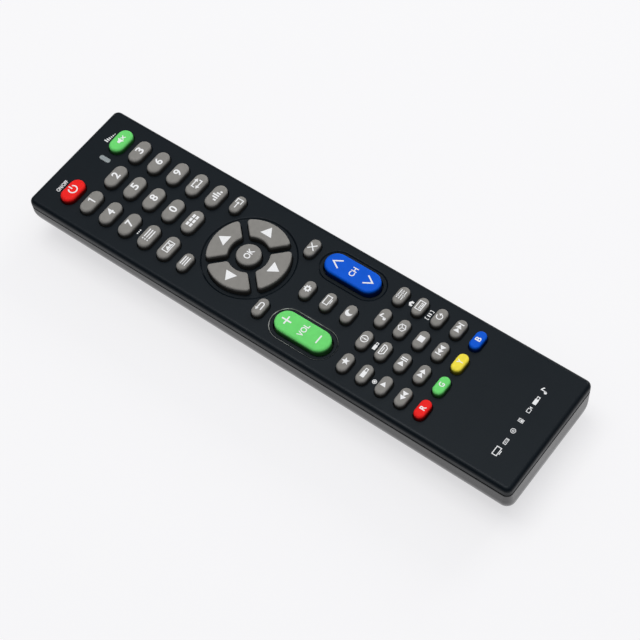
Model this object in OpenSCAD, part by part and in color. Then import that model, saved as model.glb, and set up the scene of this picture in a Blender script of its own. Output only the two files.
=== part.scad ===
// A hand-held universal remote control with a flat key field, two rockers and a direction pad.
// The origin is the middle of the resting face. +Y points to the emitter end, +Z is up.

/* [Keys] */
// Width of a number key, across the casing
number_w = 9.7; // [8.6:0.1:10.4]
// Height of a number key, along the casing
number_h = 5; // [4.4:0.1:5.6]
// Width of the power and mute keys
power_w = 10.1; // [9:0.1:10.8]
// Height of the power and mute keys
power_h = 5.8; // [5.2:0.1:6.4]
// Width of a small function key
small_w = 7.3; // [6.4:0.1:7.8]
// Height of a small function key
small_h = 3.9; // [3.5:0.1:4.4]
// Diameter of the middle key of the direction pad
ok_d = 8.6; // [7.6:0.1:9.4]
// Outer radius of the direction keys
pad_r = 14.4; // [13.4:0.1:15]
// Inner radius of the direction keys
pad_bore_r = 7.2; // [6.8:0.1:8]
// Gap between neighbouring direction keys
pad_spoke = 2.6; // [2.4:0.1:3.4]
// Width of a rocker
rocker_w = 8.5; // [7.6:0.1:9.4]
// Length of a rocker
rocker_l = 21.4; // [18:0.1:23]
// Height of the keys over the top face
key_proud = 2.2; // [1.6:0.1:3]
// Rounding of a key's top edge
key_round = 0.8; // [0.3:0.1:1.2]
// How far a key can be pressed
key_travel = 1; // [0.6:0.1:1.5]
// How far a rocker tips to each side, in degrees
rocker_tilt = 4; // [2:0.5:5]
// Width of the flange that keeps a key under the front cover
flange_w = 0.45; // [0.3:0.05:0.6]
// Thickness of that flange
flange_t = 0.9; // [0.6:0.1:1.4]

/* [Key layout] */
// From the emitter end to the row of power and mute
power_from_end = 11.6; // [10:0.1:16]
// From the power row to the first number row
number_from_power = 8.5; // [7.5:0.1:10]
// Column pitch of the number keys
number_pitch_x = 12.9; // [11.5:0.1:15]
// Row pitch of the number keys
number_pitch_y = 8.5; // [7.6:0.1:10]
// From the last number row to the middle of the direction pad
pad_from_numbers = 24.2; // [22:0.1:28]
// Corner keys of the direction pad, sideways from its middle
corner_key_x = 14.2; // [13:0.1:16]
// Corner keys of the direction pad, lengthways from its middle
corner_key_y = 15.85; // [15:0.05:18]
// From the direction pad to the rockers
rocker_from_pad = 32.95; // [31:0.05:36]
// Rockers, sideways from the middle
rocker_x = 13.7; // [12.6:0.1:16]
// Pitch of the three keys between the rockers
middle_pitch = 8.4; // [7.2:0.1:9.2]
// From the rockers to the first row of the lower block
lower_from_rocker = 18.35; // [17:0.05:22]
// Column pitch of the lower block
lower_pitch_x = 10.27; // [9.3:0.01:12]
// Row pitch of the lower block
lower_pitch_y = 7.55; // [6.8:0.05:9]
// From the last key row to the battery end
near_margin = 38.2; // [34:0.1:50]
// From the outermost key to the side of the casing
side_margin = 4.945; // [4.5:0.005:8]

/* [Casing] */
// Plan radius of the casing's corners
corner_r = 2.3; // [2:0.1:4]
// Rounding of the top edge
edge_r = 1.6; // [0.8:0.1:1.9]
// Wall of the rear cover
wall = 2; // [1.6:0.1:2.6]
// Thickness of the front cover's face
plate_t = 1.8; // [1.5:0.1:2.4]
// From the top face down to the seam
front_rim = 3.6; // [2.6:0.1:4]
// Bevel of both covers' edges along the seam
seam_bevel = 0.3; // [0.1:0.1:0.6]
// Depth of the front cover's inner lip below the seam
lip_h = 1.2; // [1:0.1:2]
// Thickness of that lip
lip_t = 1.2; // [0.9:0.1:1.5]
// Upright part of the long sides below the seam, at the battery end
side_near = 5.5; // [4:0.1:6]
// Upright part of the sides below the seam, at the emitter end
side_far = 2.4; // [0.8:0.1:3]
// Upright part of the battery end's own wall below the seam
end_near = 7.1; // [5:0.1:7.6]
// Slope of the belly's long sides from upright, in degrees
belly_slope = 37; // [30:1:45]
// Slope of the belly at the battery end from upright, in degrees
near_slope = 30; // [24:1:36]
// Slope of the belly at the emitter end from upright, in degrees
far_slope = 45; // [35:1:55]
// Radius where the long sides turn under
turn_r = 10; // [8:0.5:16]
// Radius where the ends turn under
end_turn_r = 18; // [12:0.5:20]
// Depth of the recesses round the direction pad and the rockers
recess_t = 0.5; // [0.2:0.1:0.8]
// Slant of the recess walls
recess_bevel = 0.4; // [0.1:0.1:0.8]
// Recess floor outside the direction keys
pad_recess = 1.7; // [1:0.1:2.4]
// Recess floor outside a rocker
rocker_recess = 1.65; // [1:0.05:2.2]
// Width of a snap clip
clip_w = 6; // [4:0.5:10]
// Height of a snap clip's hook
clip_h = 0.6; // [0.4:0.1:0.9]
// Reach of a snap clip's hook
clip_reach = 0.45; // [0.3:0.05:0.7]
// Diameter of the pins that locate the mat and the board
pin_d = 2; // [1.6:0.1:2.4]
// Thickness of the cross ribs in the rear cover
rib_t = 1.2; // [0.9:0.1:1.6]

/* [Batteries] */
// Diameter of a cell
battery_d = 10.5; // [9.5:0.1:11.5]
// Length of a cell with its nub
battery_l = 44.5; // [42:0.1:50]
// Diameter of a cell's nub
nub_d = 3.8; // [3:0.1:4.5]
// Length of a cell's nub
nub_l = 0.9; // [0.6:0.1:1.4]
// Wall of the battery compartment
bay_wall = 1.2; // [1:0.1:1.6]
// Ceiling of the battery compartment
bay_roof = 1; // [0.8:0.1:1.5]
// Thickness of the battery cover
door_t = 1.9; // [1.7:0.1:2.4]
// Thickness of the battery cover's tongues
tongue_t = 0.8; // [0.6:0.1:0.9]
// Width of the battery cover's tongues
tongue_w = 1.2; // [0.8:0.1:1.6]
// Thickness of a contact plate
contact_t = 0.4; // [0.3:0.05:0.6]
// Width of a contact plate
contact_w = 8; // [6:0.5:9]
// Length of a contact spring
spring_l = 4.6; // [4:0.1:6]
// Diameter of a contact spring at its foot
spring_d = 7; // [6:0.1:8]
// Diameter of a contact spring at its tip
spring_tip_d = 4.6; // [3.6:0.1:5.4]
// Diameter of a contact spring's wire
wire_d = 0.7; // [0.5:0.05:0.9]
// Turns of a contact spring
spring_turns = 3; // [2:0.5:3.5]
// Number of finger ribs on the battery cover
grip_count = 6; // [3:1:8]
// Pitch of the finger ribs
grip_pitch = 2.2; // [1.8:0.1:3]

/* [Board and lights] */
// Thickness of the circuit board
board_t = 1.2; // [0.8:0.1:1.6]
// Diameter of the infrared emitter
led_d = 5; // [4:0.1:5.4]
// Length of the infrared emitter with its dome
led_l = 8.6; // [7.6:0.1:10]
// Length of the indicator lens, along the casing
lens_l = 4.6; // [3.6:0.1:5.4]
// Width of the indicator lens
lens_w = 1.9; // [1.5:0.1:2.4]
// Indicator lens, sideways from the middle
lens_x = 4.5; // [2:0.05:5.5]
// From the emitter end to the indicator lens
lens_from_end = 11; // [9:0.1:13]
// Diameter of the controller's round cover
chip_d = 9; // [7:0.5:12]

/* [Fits] */
// Clearance round a key in its hole
key_gap = 0.25; // [0.15:0.05:0.35]
// Clearance of a sliding or seated piece
seat_gap = 0.15; // [0.1:0.05:0.2]
// Clearance round a cell
battery_gap = 0.3; // [0.2:0.05:0.5]

/* [Hidden] */
$fn = 64;
arc_steps = 4;
turn_steps = 6;
dome_steps = 8;
// Slope at which a side leaves the upright, in degrees
turn_start = 3;
// Overlap of a cut past the face that it opens
over = 1;
// Depth under the resting face to which the belly's slopes run on
under = 3;
// Larger than any half plan size of the direction pad
far_out = 60;

// Heights, stacked from the resting face to the tops of the keys
cell_z = door_t + battery_gap + battery_d / 2;
roof_z = cell_z + battery_d / 2 + battery_gap;
board_z = roof_z + bay_roof;
mat_z = board_z + board_t;
chamber_h = flange_t + key_travel + 2 * seat_gap;
mat_t = chamber_h - seat_gap;
plate_z = mat_z + chamber_h;
top_z = plate_z + plate_t;
key_top = top_z + key_proud;
seam_z = top_z - front_rim;
flange_z = plate_z - seat_gap - flange_t;
near_turn_z = seam_z - side_near;
far_turn_z = seam_z - side_far;
near_end_z = seam_z - end_near;
near_corner_z = (near_turn_z + near_end_z) / 2;

// Slopes of the belly's corners from upright, a little more than where a side and an end meet
corner_more = 1.5;
corner_turn_r = end_turn_r * 2 / 3;
near_corner_slope = atan((tan(belly_slope) + tan(near_slope)) / sqrt(2)) + corner_more;
far_corner_slope = atan((tan(belly_slope) + tan(far_slope)) / sqrt(2)) + corner_more;
corner_free = 0.05;

// Plan sizes, worked out from the key field
number_rows = 5;
number_cols = 3;
lower_rows = 5;
lower_cols = 4;
key_reach = max((lower_cols - 1) / 2 * lower_pitch_x + small_w / 2, rocker_x + rocker_w / 2,
                corner_key_x + small_w / 2, number_pitch_x + max(number_w, power_w) / 2,
                pad_r + pad_recess);
body_w = 2 * (key_reach + side_margin);
body_l = power_from_end + number_from_power + (number_rows - 1) * number_pitch_y + pad_from_numbers
         + rocker_from_pad + lower_from_rocker + (lower_rows - 1) * lower_pitch_y + near_margin;
far_y = body_l / 2;
near_y = -body_l / 2;
power_y = far_y - power_from_end;
number_y = power_y - number_from_power;
pad_y = number_y - (number_rows - 1) * number_pitch_y - pad_from_numbers;
rocker_y = pad_y - rocker_from_pad;
lower_y = rocker_y - lower_from_rocker;
last_y = lower_y - (lower_rows - 1) * lower_pitch_y;
belly_tilt = atan((side_near - side_far) / body_l);

// Fits between the shells and the inner pieces
lip_out = wall + seat_gap;
lip_in = lip_out + lip_t;
board_w = body_w - 2 * (lip_in + 2 * seat_gap);
board_far = far_y - lip_in - 2 * seat_gap;
board_near = last_y - small_h / 2 - flange_w - 4 * key_gap;
rocker_gap = key_gap + (key_top - plate_z) * sin(rocker_tilt);
rocker_foot = mat_z + seat_gap + rocker_l / 2 * sin(rocker_tilt);
clips_per_side = 3;
clip_z = seam_z - lip_h;

// Battery compartment and its cover
bay_w = 2 * battery_d + 3 * battery_gap;
bay_l = battery_l + spring_l + 2 * contact_t + 2 * battery_gap;
bay_y0 = near_y + turned_in(near_end_z, near_slope, door_t) + bay_wall + battery_gap;
bay_y1 = bay_y0 + bay_l;
cell_x = (battery_d + battery_gap) / 2;
door_w = bay_w + 2 * bay_wall;
door_y0 = near_y + turned_in(near_end_z, near_slope, 0) + bay_wall;
door_y1 = bay_y1 + 2 * bay_wall;
tongue_z = (door_t - tongue_t) / 2 + seat_gap;
rail_reach = tongue_w + 2 * seat_gap + bay_wall;
grip_w = door_w / 2;
grip_cut = 0.5;
grip_groove = grip_pitch / 2;
tab_w = 1.6;

// Board, emitter, lens, ribs and locating pins
led_rim = 0.4;
led_rim_t = 1;
led_tip_in = 0.6;
led_z = mat_z - seat_gap - led_rim - led_d / 2;
led_foot_y = far_y - led_tip_in - led_l;
lead_t = 0.5;
lead_x = 1.27;
lead_run = 5;
lens_y = far_y - lens_from_end;
lens_flange = 0.4;
lens_flange_t = 0.6;
lens_proud = 0.15;
light_t = 0.6;
chip_t = 1.4;
capacitor_d = 5;
capacitor_h = 7;
crystal = [4, 1.8, 1.2];
rib_count = 4;
rib_pitch = (far_y - door_y1) / (rib_count + 1);
rib_ys = [for (i = [1:rib_count]) door_y1 + i * rib_pitch];
pins = [[0, pad_y + pad_r + (pad_from_numbers - pad_r - number_h / 2) / 2],
        [0, pad_y - pad_r - (rocker_from_pad - middle_pitch - pad_r - small_h / 2) / 2]];

// Colours as moulded
black = "#202226";
dark = "#3a3b3d";
grey = "#8f8c89";
red = "#e8231f";
green = "#5fce63";
blue = "#1450c8";
yellow = "#f4d21f";

// Every key as [node, kind, x, y, colour, turn]
number_names = [["key_1", "key_2", "key_3"], ["key_4", "key_5", "key_6"], ["key_7", "key_8", "key_9"],
                ["key_channel_list", "key_0", "key_recall"],
                ["key_picture_mode", "key_guide", "key_sound_mode"]];
lower_names = [["key_favourite", "key_info", "key_audio", "key_define"],
               ["key_media_port", "key_video_port", "key_depth", "key_subtitle"],
               ["key_play", "key_play_pause", "key_stop", "key_rotate"],
               ["key_rewind", "key_forward", "key_previous", "key_next"],
               ["key_red", "key_green", "key_yellow", "key_blue"]];
last_colours = [red, green, yellow, blue];
KEYS = concat(
    [["key_power", "power", -number_pitch_x, power_y, red, 0],
     ["key_mute", "power", number_pitch_x, power_y, green, 0]],
    [for (row = [0:number_rows - 1], col = [0:number_cols - 1])
        [number_names[row][col], "number", (col - (number_cols - 1) / 2) * number_pitch_x,
         number_y - row * number_pitch_y, grey, 0]],
    [["key_menu", "small", -corner_key_x, pad_y + corner_key_y, grey, 0],
     ["key_source", "small", corner_key_x, pad_y + corner_key_y, grey, 0],
     ["key_up", "sector", 0, pad_y, grey, 0],
     ["key_left", "sector", 0, pad_y, grey, 90],
     ["key_down", "sector", 0, pad_y, grey, 180],
     ["key_right", "sector", 0, pad_y, grey, 270],
     ["key_ok", "round", 0, pad_y, grey, 0],
     ["key_return", "small", -corner_key_x, pad_y - corner_key_y, grey, 0],
     ["key_exit", "small", corner_key_x, pad_y - corner_key_y, grey, 0],
     ["key_volume", "rocker", -rocker_x, rocker_y, green, 90],
     ["key_channel", "rocker", rocker_x, rocker_y, blue, 90],
     ["key_set", "small", 0, rocker_y + middle_pitch, grey, 0],
     ["key_display", "small", 0, rocker_y, grey, 0],
     ["key_sleep", "small", 0, rocker_y - middle_pitch, grey, 0]],
    [for (row = [0:lower_rows - 1], col = [0:lower_cols - 1])
        [lower_names[row][col], "small", (col - (lower_cols - 1) / 2) * lower_pitch_x,
         lower_y - row * lower_pitch_y,
         row == lower_rows - 1 ? last_colours[col] : grey, 0]]);

// Length and width of a pill-shaped key of a kind
function key_size(kind) =
    kind == "power" ? [power_w, power_h] :
    kind == "number" ? [number_w, number_h] :
    kind == "rocker" ? [rocker_l, rocker_w] : [small_w, small_h];

// Points of a quarter round of radius e that ends an upright side at r and a flat top at z
function edge_arc(r, z, e) = [
    for (i = [0:arc_steps]) [r - e + e * cos(90 * i / arc_steps), z - e + e * sin(90 * i / arc_steps)]];

// Half profile from the axis out to r, with its top edge rounded
function round_profile(r, e, z0, z1) = concat([[0, z0], [r, z0]], edge_arc(r, z1, e), [[0, z1]]);

// Half profile of a pressed key, with the flange at its foot
function flanged_profile(r) = concat(
    [[0, flange_z], [r + flange_w, flange_z]],
    [[r + flange_w, flange_z + flange_t], [r, flange_z + flange_t]],
    edge_arc(r, key_top, key_round), [[0, key_top]]);

// Half profile of a recess whose floor reaches r
function recess_profile(r) = [
    [0, top_z - recess_t], [r, top_z - recess_t], [r + recess_bevel, top_z],
    [r + recess_bevel, top_z + over], [0, top_z + over]];

// The side at h that turns under from height z along radius r to a slope, moved in by t, run on both ways
function turn_side(h, z, slope, t, r) =
    let (line = [for (i = [0:turn_steps])
            let (a = turn_start + (slope - turn_start) * i / turn_steps)
            [h - r * (cos(turn_start) - cos(a)) - t * cos(a),
             z - r * (sin(a) - sin(turn_start)) + t * sin(a)]],
         low = line[turn_steps])
    concat([[line[0][0] + seam_z * tan(turn_start), line[0][1] + seam_z]], line,
           [[low[0] - (low[1] + under) * tan(slope), -under]]);

// How far an end that turns at z0 has come in at height z
function turned_in(z0, slope, z) =
    let (bent = min(z0 - z, end_turn_r * (sin(slope) - sin(turn_start))),
         a = asin(sin(turn_start) + bent / end_turn_r))
    end_turn_r * (cos(turn_start) - cos(a)) + (z0 - z - bent) * tan(slope);

function flipped(points) = [for (i = [len(points) - 1:-1:0]) [-points[i][0], points[i][1]]];

// Middle line of a contact spring, from its foot to its tip along +Z
ring_steps = 8;
ring_sides = 6;
ring_count = ring_steps * spring_turns;
foot_r = (spring_d - wire_d) / 2;
tip_r = (spring_tip_d - wire_d) / 2;
rise = spring_l - wire_d;
function coil_point(i) =
    let (part = i / ring_count, a = 360 * i / ring_steps, r = foot_r + (tip_r - foot_r) * part)
    [r * cos(a), r * sin(a), wire_d / 2 + rise * part];
coil_line = [for (i = [0:ring_count]) coil_point(i)];
coil_gap = min([for (i = [0:ring_count - ring_steps + 2], j = [i + ring_steps - 2:ring_count])
    norm(coil_line[i] - coil_line[j])]) - wire_d;
echo(contact_spring_least_gap = coil_gap);

// Flat outline with two half-round ends
module pill(w, h) {
    square([w - h, h], center = true);
    for (s = [-1, 1]) translate([s * (w - h) / 2, 0]) circle(d = h);
}

// A half profile swept round a pill whose straight stretch is given
module pill_sweep(straight) {
    rotate([90, 0, 90]) linear_extrude(straight, center = true) {
        children();
        mirror([1, 0]) children();
    }
    for (s = [-1, 1])
        translate([s * straight / 2, 0, 0]) rotate([0, 0, -90 * s]) rotate_extrude(angle = 180) children();
}

// A block with round plan corners, whose edge has the given half profile of width r
module rim_block(w, l, r, z0, z1) {
    translate([r - w / 2, r - l / 2, z0]) cube([w - 2 * r, l - 2 * r, z1 - z0]);
    for (i = [0:3]) {
        along = i % 2 == 0 ? l : w;
        across = i % 2 == 0 ? w : l;
        rotate([0, 0, 90 * i]) translate([across / 2 - r, 0, 0]) {
            rotate([90, 0, 0]) linear_extrude(along - 2 * r, center = true) children();
            translate([0, along / 2 - r, 0]) rotate_extrude(angle = 90) children();
        }
    }
}

// Quarter between the diagonals on the +Y side, held off each diagonal by half a spoke
module quarter(spoke) {
    tip = spoke / sqrt(2);
    polygon([[0, tip], [far_out, far_out + tip], [-far_out, far_out + tip]]);
}

// Flat outline of a direction key, grown by g
module sector(g) intersection() {
    difference() {
        circle(r = pad_r + g);
        circle(r = pad_bore_r - g);
    }
    quarter(pad_spoke - 2 * g);
}

// Flat outline of a key in its place, grown by g sideways and by g_long along a rocker
module key_outline(k, g, g_long) translate([k[2], k[3]]) rotate(k[5]) {
    size = key_size(k[1]);
    if (k[1] == "sector") sector(g);
    else if (k[1] == "round") circle(d = ok_d + 2 * g);
    else if (k[1] == "rocker") pill(size[0] + 2 * g_long, size[1] + 2 * g);
    else pill(size[0] + 2 * g, size[1] + 2 * g);
}

// A box centred on x, between two places along the casing and two heights
module bar(w, y0, y1, z0, z1) translate([-w / 2, y0, z0]) cube([w, y1 - y0, z1 - z0]);

// Hooks of the snap clips, or with g their pockets
module clips(g) for (i = [1:clips_per_side], s = [-1, 1]) {
    y = near_y + (i - 1 / 2) * body_l / clips_per_side;
    translate([s * (body_w / 2 - lip_out), y, clip_z + clip_h / 2])
        cube([2 * (clip_reach + g), clip_w + 2 * g, clip_h + 2 * g], center = true);
}

// Bore for the infrared emitter
module led_bore() translate([0, far_y + over, led_z]) rotate([90, 0, 0])
    cylinder(d = led_d + 2 * seat_gap, h = lip_in + 2 * over);

// Flat outline of the indicator lens in its place, grown by g
module lens_outline(g) translate([lens_x, lens_y]) rotate(90) pill(lens_l + 2 * g, lens_w + 2 * g);

// Black top shell with its key holes, recesses, lip, hooks and locating pins
module front_cover() color(black) {
    difference() {
        union() {
            rim_block(body_w, body_l, corner_r, seam_z, top_z)
                polygon(concat([[0, seam_z], [corner_r - seam_bevel, seam_z]],
                               [[corner_r, seam_z + seam_bevel]],
                               edge_arc(corner_r, top_z, edge_r), [[0, top_z]]));
            bar(body_w - 2 * lip_out, near_y + lip_out, far_y - lip_out, clip_z, plate_z);
            clips(0);
        }
        bar(body_w - 2 * lip_in, near_y + lip_in, far_y - lip_in, clip_z - over, plate_z);
        for (k = KEYS)
            translate([0, 0, plate_z - over]) linear_extrude(plate_t + 2 * over)
                key_outline(k, key_gap, rocker_gap);
        translate([0, 0, plate_z - over]) linear_extrude(plate_t + 2 * over) lens_outline(seat_gap);
        translate([0, pad_y, 0]) rotate_extrude() polygon(recess_profile(pad_r + pad_recess));
        for (s = [-1, 1])
            translate([s * rocker_x, rocker_y, 0]) rotate([0, 0, 90]) pill_sweep(rocker_l - rocker_w)
                polygon(recess_profile(rocker_w / 2 + rocker_recess));
        led_bore();
    }
    pin_z = board_z + seat_gap;
    for (p = pins) translate([p[0], p[1], pin_z]) cylinder(d = pin_d, h = plate_z + plate_t / 2 - pin_z);
}

// Room between the belly's long sides and between its ends, moved in by t
module belly_slopes(t) intersection() {
    translate([0, 0, near_turn_z / 2 + far_turn_z / 2]) rotate([belly_tilt, 0, 0])
        translate([0, 0, -near_turn_z / 2 - far_turn_z / 2]) rotate([90, 0, 0])
            linear_extrude(2 * body_l, center = true) {
                side = turn_side(body_w / 2, near_turn_z / 2 + far_turn_z / 2, belly_slope, t, turn_r);
                polygon(concat(side, flipped(side)));
            }
    rotate([90, 0, 90]) linear_extrude(2 * body_w, center = true)
        polygon(concat(turn_side(far_y, far_turn_z, far_slope, t, end_turn_r),
                       flipped(turn_side(far_y, near_end_z, near_slope, t, end_turn_r))));
}

// Room between two opposite corners of the belly, turned by a
module corner_slopes(a) {
    reach = (body_w / 2 + body_l / 2) / sqrt(2) - corner_r * (sqrt(2) - 1) + corner_free;
    rotate([90, 0, 90 + a]) linear_extrude(2 * body_l, center = true)
        polygon(concat(turn_side(reach, far_turn_z, far_corner_slope, 0, corner_turn_r),
                       flipped(turn_side(reach, near_corner_z, near_corner_slope, 0, corner_turn_r))));
}

// Outside of the lower shell below the seam
module tub_outside() intersection() {
    rim_block(body_w, body_l, corner_r, 0, seam_z)
        polygon([[0, 0], [corner_r, 0], [corner_r, seam_z - seam_bevel], [corner_r - seam_bevel, seam_z],
                 [0, seam_z]]);
    belly_slopes(0);
    corner_slopes(-45);
    corner_slopes(45);
}

// Space inside the lower shell's wall
module tub_inside() intersection() {
    bar(body_w - 2 * wall, near_y + wall, far_y - wall, wall, seam_z + over);
    belly_slopes(wall);
}

// Room for the battery cover and its tongues
module door_space() {
    bar(door_w + 2 * seat_gap, near_y - over, door_y1 + seat_gap, -over, door_t + seat_gap);
    bar(door_w + 2 * (tongue_w + seat_gap), near_y - over, door_y1 + tongue_w + seat_gap,
        tongue_z - seat_gap, tongue_z + tongue_t + seat_gap);
}

// Grey lower shell with the battery compartment, the cover's rails and the board's ribs
module rear_cover() color(dark) difference() {
    union() {
        difference() {
            tub_outside();
            tub_inside();
        }
        intersection() {
            tub_outside();
            union() {
                bar(door_w, bay_y0 - bay_wall, bay_y1 + bay_wall, 0, board_z);
                bar(door_w + 2 * rail_reach, near_y, door_y1 + rail_reach, 0, door_t + bay_wall);
                for (y = rib_ys) bar(body_w - wall, y - rib_t / 2, y + rib_t / 2, 0, board_z);
            }
        }
    }
    bar(bay_w, bay_y0, bay_y1, -over, roof_z);
    door_space();
    clips(seat_gap);
    led_bore();
    for (s = [-1, 1]) translate([s * cell_x, 0, 0])
        bar(tab_w + 2 * seat_gap, bay_y1 - contact_t - seat_gap, bay_y1 + seat_gap,
            roof_z - over, board_z + over);
}

// Sliding door on the underside, with finger ribs and an arrow
module battery_cover() color(dark) difference() {
    union() {
        intersection() {
            tub_outside();
            bar(door_w, near_y, door_y1, 0, door_t);
        }
        bar(door_w + 2 * tongue_w, door_y0, door_y1 + tongue_w, tongue_z, tongue_z + tongue_t);
    }
    for (i = [1:grip_count]) translate([0, door_y1 - (i + 1) * grip_pitch, 0])
        bar(grip_w, 0, grip_groove, -over, grip_cut);
    translate([0, door_y1 - (grip_count + 3) * grip_pitch, -over]) linear_extrude(over + grip_cut)
        polygon([[-grip_w / 4, 0], [grip_w / 4, 0], [0, -grip_w / 3]]);
}

// Board with its chip, capacitor, crystal and indicator light, cut for the pins and the emitter
module circuit_board() color("#8a6a3a") difference() {
    union() {
        bar(board_w, board_near, board_far, board_z, mat_z);
        translate([0, (rib_ys[2] + rib_ys[3]) / 2, board_z - chip_t])
            cylinder(d = chip_d, h = chip_t + board_t / 2);
        translate([-board_w / 4, (rib_ys[1] + rib_ys[2]) / 2, board_z - capacitor_h])
            cylinder(d = capacitor_d, h = capacitor_h + board_t / 2);
        translate([board_w / 4, (rib_ys[1] + rib_ys[2]) / 2, board_z - crystal[2] / 2 + board_t / 4])
            cube([crystal[0], crystal[1], crystal[2] + board_t / 2], center = true);
        translate([lens_x, lens_y, mat_z]) cube([lens_w, lens_w, 2 * light_t], center = true);
    }
    for (p = pins) translate([p[0], p[1], board_z - over])
        cylinder(d = pin_d + 2 * seat_gap, h = board_t + 2 * over);
    bar(led_d + 2 * (led_rim + 2 * seat_gap), led_foot_y - 2 * seat_gap, board_far + over,
        board_z - over, mat_z + over);
}

// Silicone sheet on the board, with a chamber round each key
module keypad_mat() color("#55565a") difference() {
    bar(board_w, board_near, board_far, mat_z, mat_z + mat_t);
    translate([0, 0, mat_z - over]) linear_extrude(mat_t + 2 * over) {
        for (k = KEYS) key_outline(k, flange_w + key_gap, rocker_gap);
        lens_outline(lens_flange + seat_gap);
        for (p = pins) translate(p) circle(d = pin_d + 2 * seat_gap);
    }
}

// Infrared emitter with its dome, rim and bent leads
module ir_led() color("#d8dde2") {
    r = led_d / 2;
    translate([0, led_foot_y, led_z]) rotate([-90, 0, 0]) rotate_extrude()
        polygon(concat([[0, 0], [r + led_rim, 0], [r + led_rim, led_rim_t], [r, led_rim_t]],
            [for (i = [0:dome_steps]) let (a = 90 * i / dome_steps) [r * cos(a), led_l - r + r * sin(a)]]));
    for (s = [-1, 1]) translate([s * lead_x, 0, 0]) {
        lead_y = led_foot_y - lead_run;
        bar(lead_t, lead_y, led_foot_y + led_rim_t / 2, led_z - lead_t / 2, led_z + lead_t / 2);
        bar(lead_t, lead_y, lead_y + lead_t, led_z - lead_t / 2, board_z);
    }
}

// Light pipe from the indicator light to the top face
module indicator_lens() color("#9aa2a8") {
    z0 = mat_z + light_t + seat_gap;
    flange_top = plate_z - seat_gap;
    translate([0, 0, z0]) linear_extrude(top_z + lens_proud - z0) lens_outline(0);
    translate([0, 0, flange_top - lens_flange_t]) linear_extrude(lens_flange_t) lens_outline(lens_flange);
}

// One unbroken wire wound into a cone
module contact_spring() {
    points = [for (i = [0:ring_count], j = [0:ring_sides - 1])
        let (a = 360 * i / ring_steps, b = 360 * j / ring_sides, out = [cos(a), sin(a), 0])
        coil_line[i] + wire_d / 2 * (cos(b) * out + [0, 0, sin(b)])];
    sides = [for (i = [0:ring_count - 1], j = [0:ring_sides - 1])
        let (k = (j + 1) % ring_sides, p = i * ring_sides, q = p + ring_sides)
        each [[p + j, q + k, q + j], [p + j, p + k, q + k]]];
    last = ring_count * ring_sides;
    caps = [for (j = [1:ring_sides - 2])
        each [[0, j + 1, j], [last, last + j, last + j + 1]]];
    polyhedron(points, concat(sides, caps));
}

// Spring and flat contacts at both ends of the compartment, with tabs to the board
module battery_contacts() color("#c9ccd0") {
    z0 = cell_z - contact_w / 2;
    z1 = cell_z + contact_w / 2;
    bar(2 * cell_x + contact_w, bay_y0, bay_y0 + contact_t, z0, z1);
    translate([-cell_x, bay_y0 + contact_t + seat_gap, cell_z]) rotate([-90, 0, 0]) contact_spring();
    for (s = [-1, 1]) translate([s * cell_x, 0, 0]) {
        bar(contact_w, bay_y1 - contact_t, bay_y1, z0, z1);
        bar(tab_w, bay_y1 - contact_t, bay_y1, z1 - contact_t, board_z);
    }
    translate([cell_x, bay_y1 - contact_t - seat_gap, cell_z]) rotate([90, 0, 0]) contact_spring();
}

// Two cells lying side by side, head to tail
module batteries() color("#b9bcc0") for (s = [-1, 1]) {
    spring_end = contact_t + spring_l + 2 * seat_gap;
    foot = s < 0 ? bay_y0 + spring_end : bay_y1 - spring_end;
    translate([s * cell_x, foot, cell_z]) rotate([90 * s, 0, 0]) {
        cylinder(d = battery_d, h = battery_l - nub_l);
        cylinder(d = nub_d, h = battery_l);
    }
}

// Curved wedge of the direction pad with soft edges and its flange
module sector_key() {
    chamfer = key_round / sqrt(2);
    difference() {
        intersection() {
            rotate_extrude() polygon(concat([[pad_bore_r, flange_z], [pad_r, flange_z]],
                edge_arc(pad_r, key_top, key_round),
                flipped(edge_arc(-pad_bore_r, key_top, key_round))));
            translate([0, 0, flange_z]) linear_extrude(key_top) quarter(pad_spoke);
        }
        for (a = [45, 135])
            translate([0, pad_spoke / sqrt(2), key_top]) rotate([0, 0, a]) rotate([45, 0, 0])
                cube([2 * far_out, chamfer, chamfer], center = true);
    }
    translate([0, 0, flange_z]) linear_extrude(flange_t) sector(flange_w);
}

// Pill-shaped rocker with a round stub under the cover at each end of its tipping axis
module rocker_key() {
    pill_sweep(rocker_l - rocker_w) polygon(round_profile(rocker_w / 2, key_round, rocker_foot, key_top));
    translate([0, 0, flange_z + flange_t / 2]) rotate([90, 0, 0])
        cylinder(d = flange_t, h = rocker_w + 2 * flange_w, center = true);
}

// Rubber key of any kind in its place
module key(k) color(k[4]) translate([k[2], k[3], 0]) rotate([0, 0, k[5]]) {
    size = key_size(k[1]);
    if (k[1] == "sector") sector_key();
    else if (k[1] == "rocker") rocker_key();
    else if (k[1] == "round") rotate_extrude() polygon(flanged_profile(ok_d / 2));
    else pill_sweep(size[0] - size[1]) polygon(flanged_profile(size[1] / 2));
}

front_cover();
rear_cover();
battery_cover();
circuit_board();
keypad_mat();
ir_led();
indicator_lens();
battery_contacts();
batteries();
for (k = KEYS) key(k);
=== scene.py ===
"""Looks of a hand-held universal remote control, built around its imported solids.

Lengths are written in millimetres in the part's own frame: +Y points to the emitter end and +Z up through
the keys. Meshes are handed to Blender in metres.
"""
import logging
import math
from dataclasses import dataclass, field
from enum import Enum
from functools import cache
from typing import Callable, Sequence

import bmesh
import bpy
from mathutils import Matrix, Vector
from mathutils.geometry import tessellate_polygon


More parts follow.
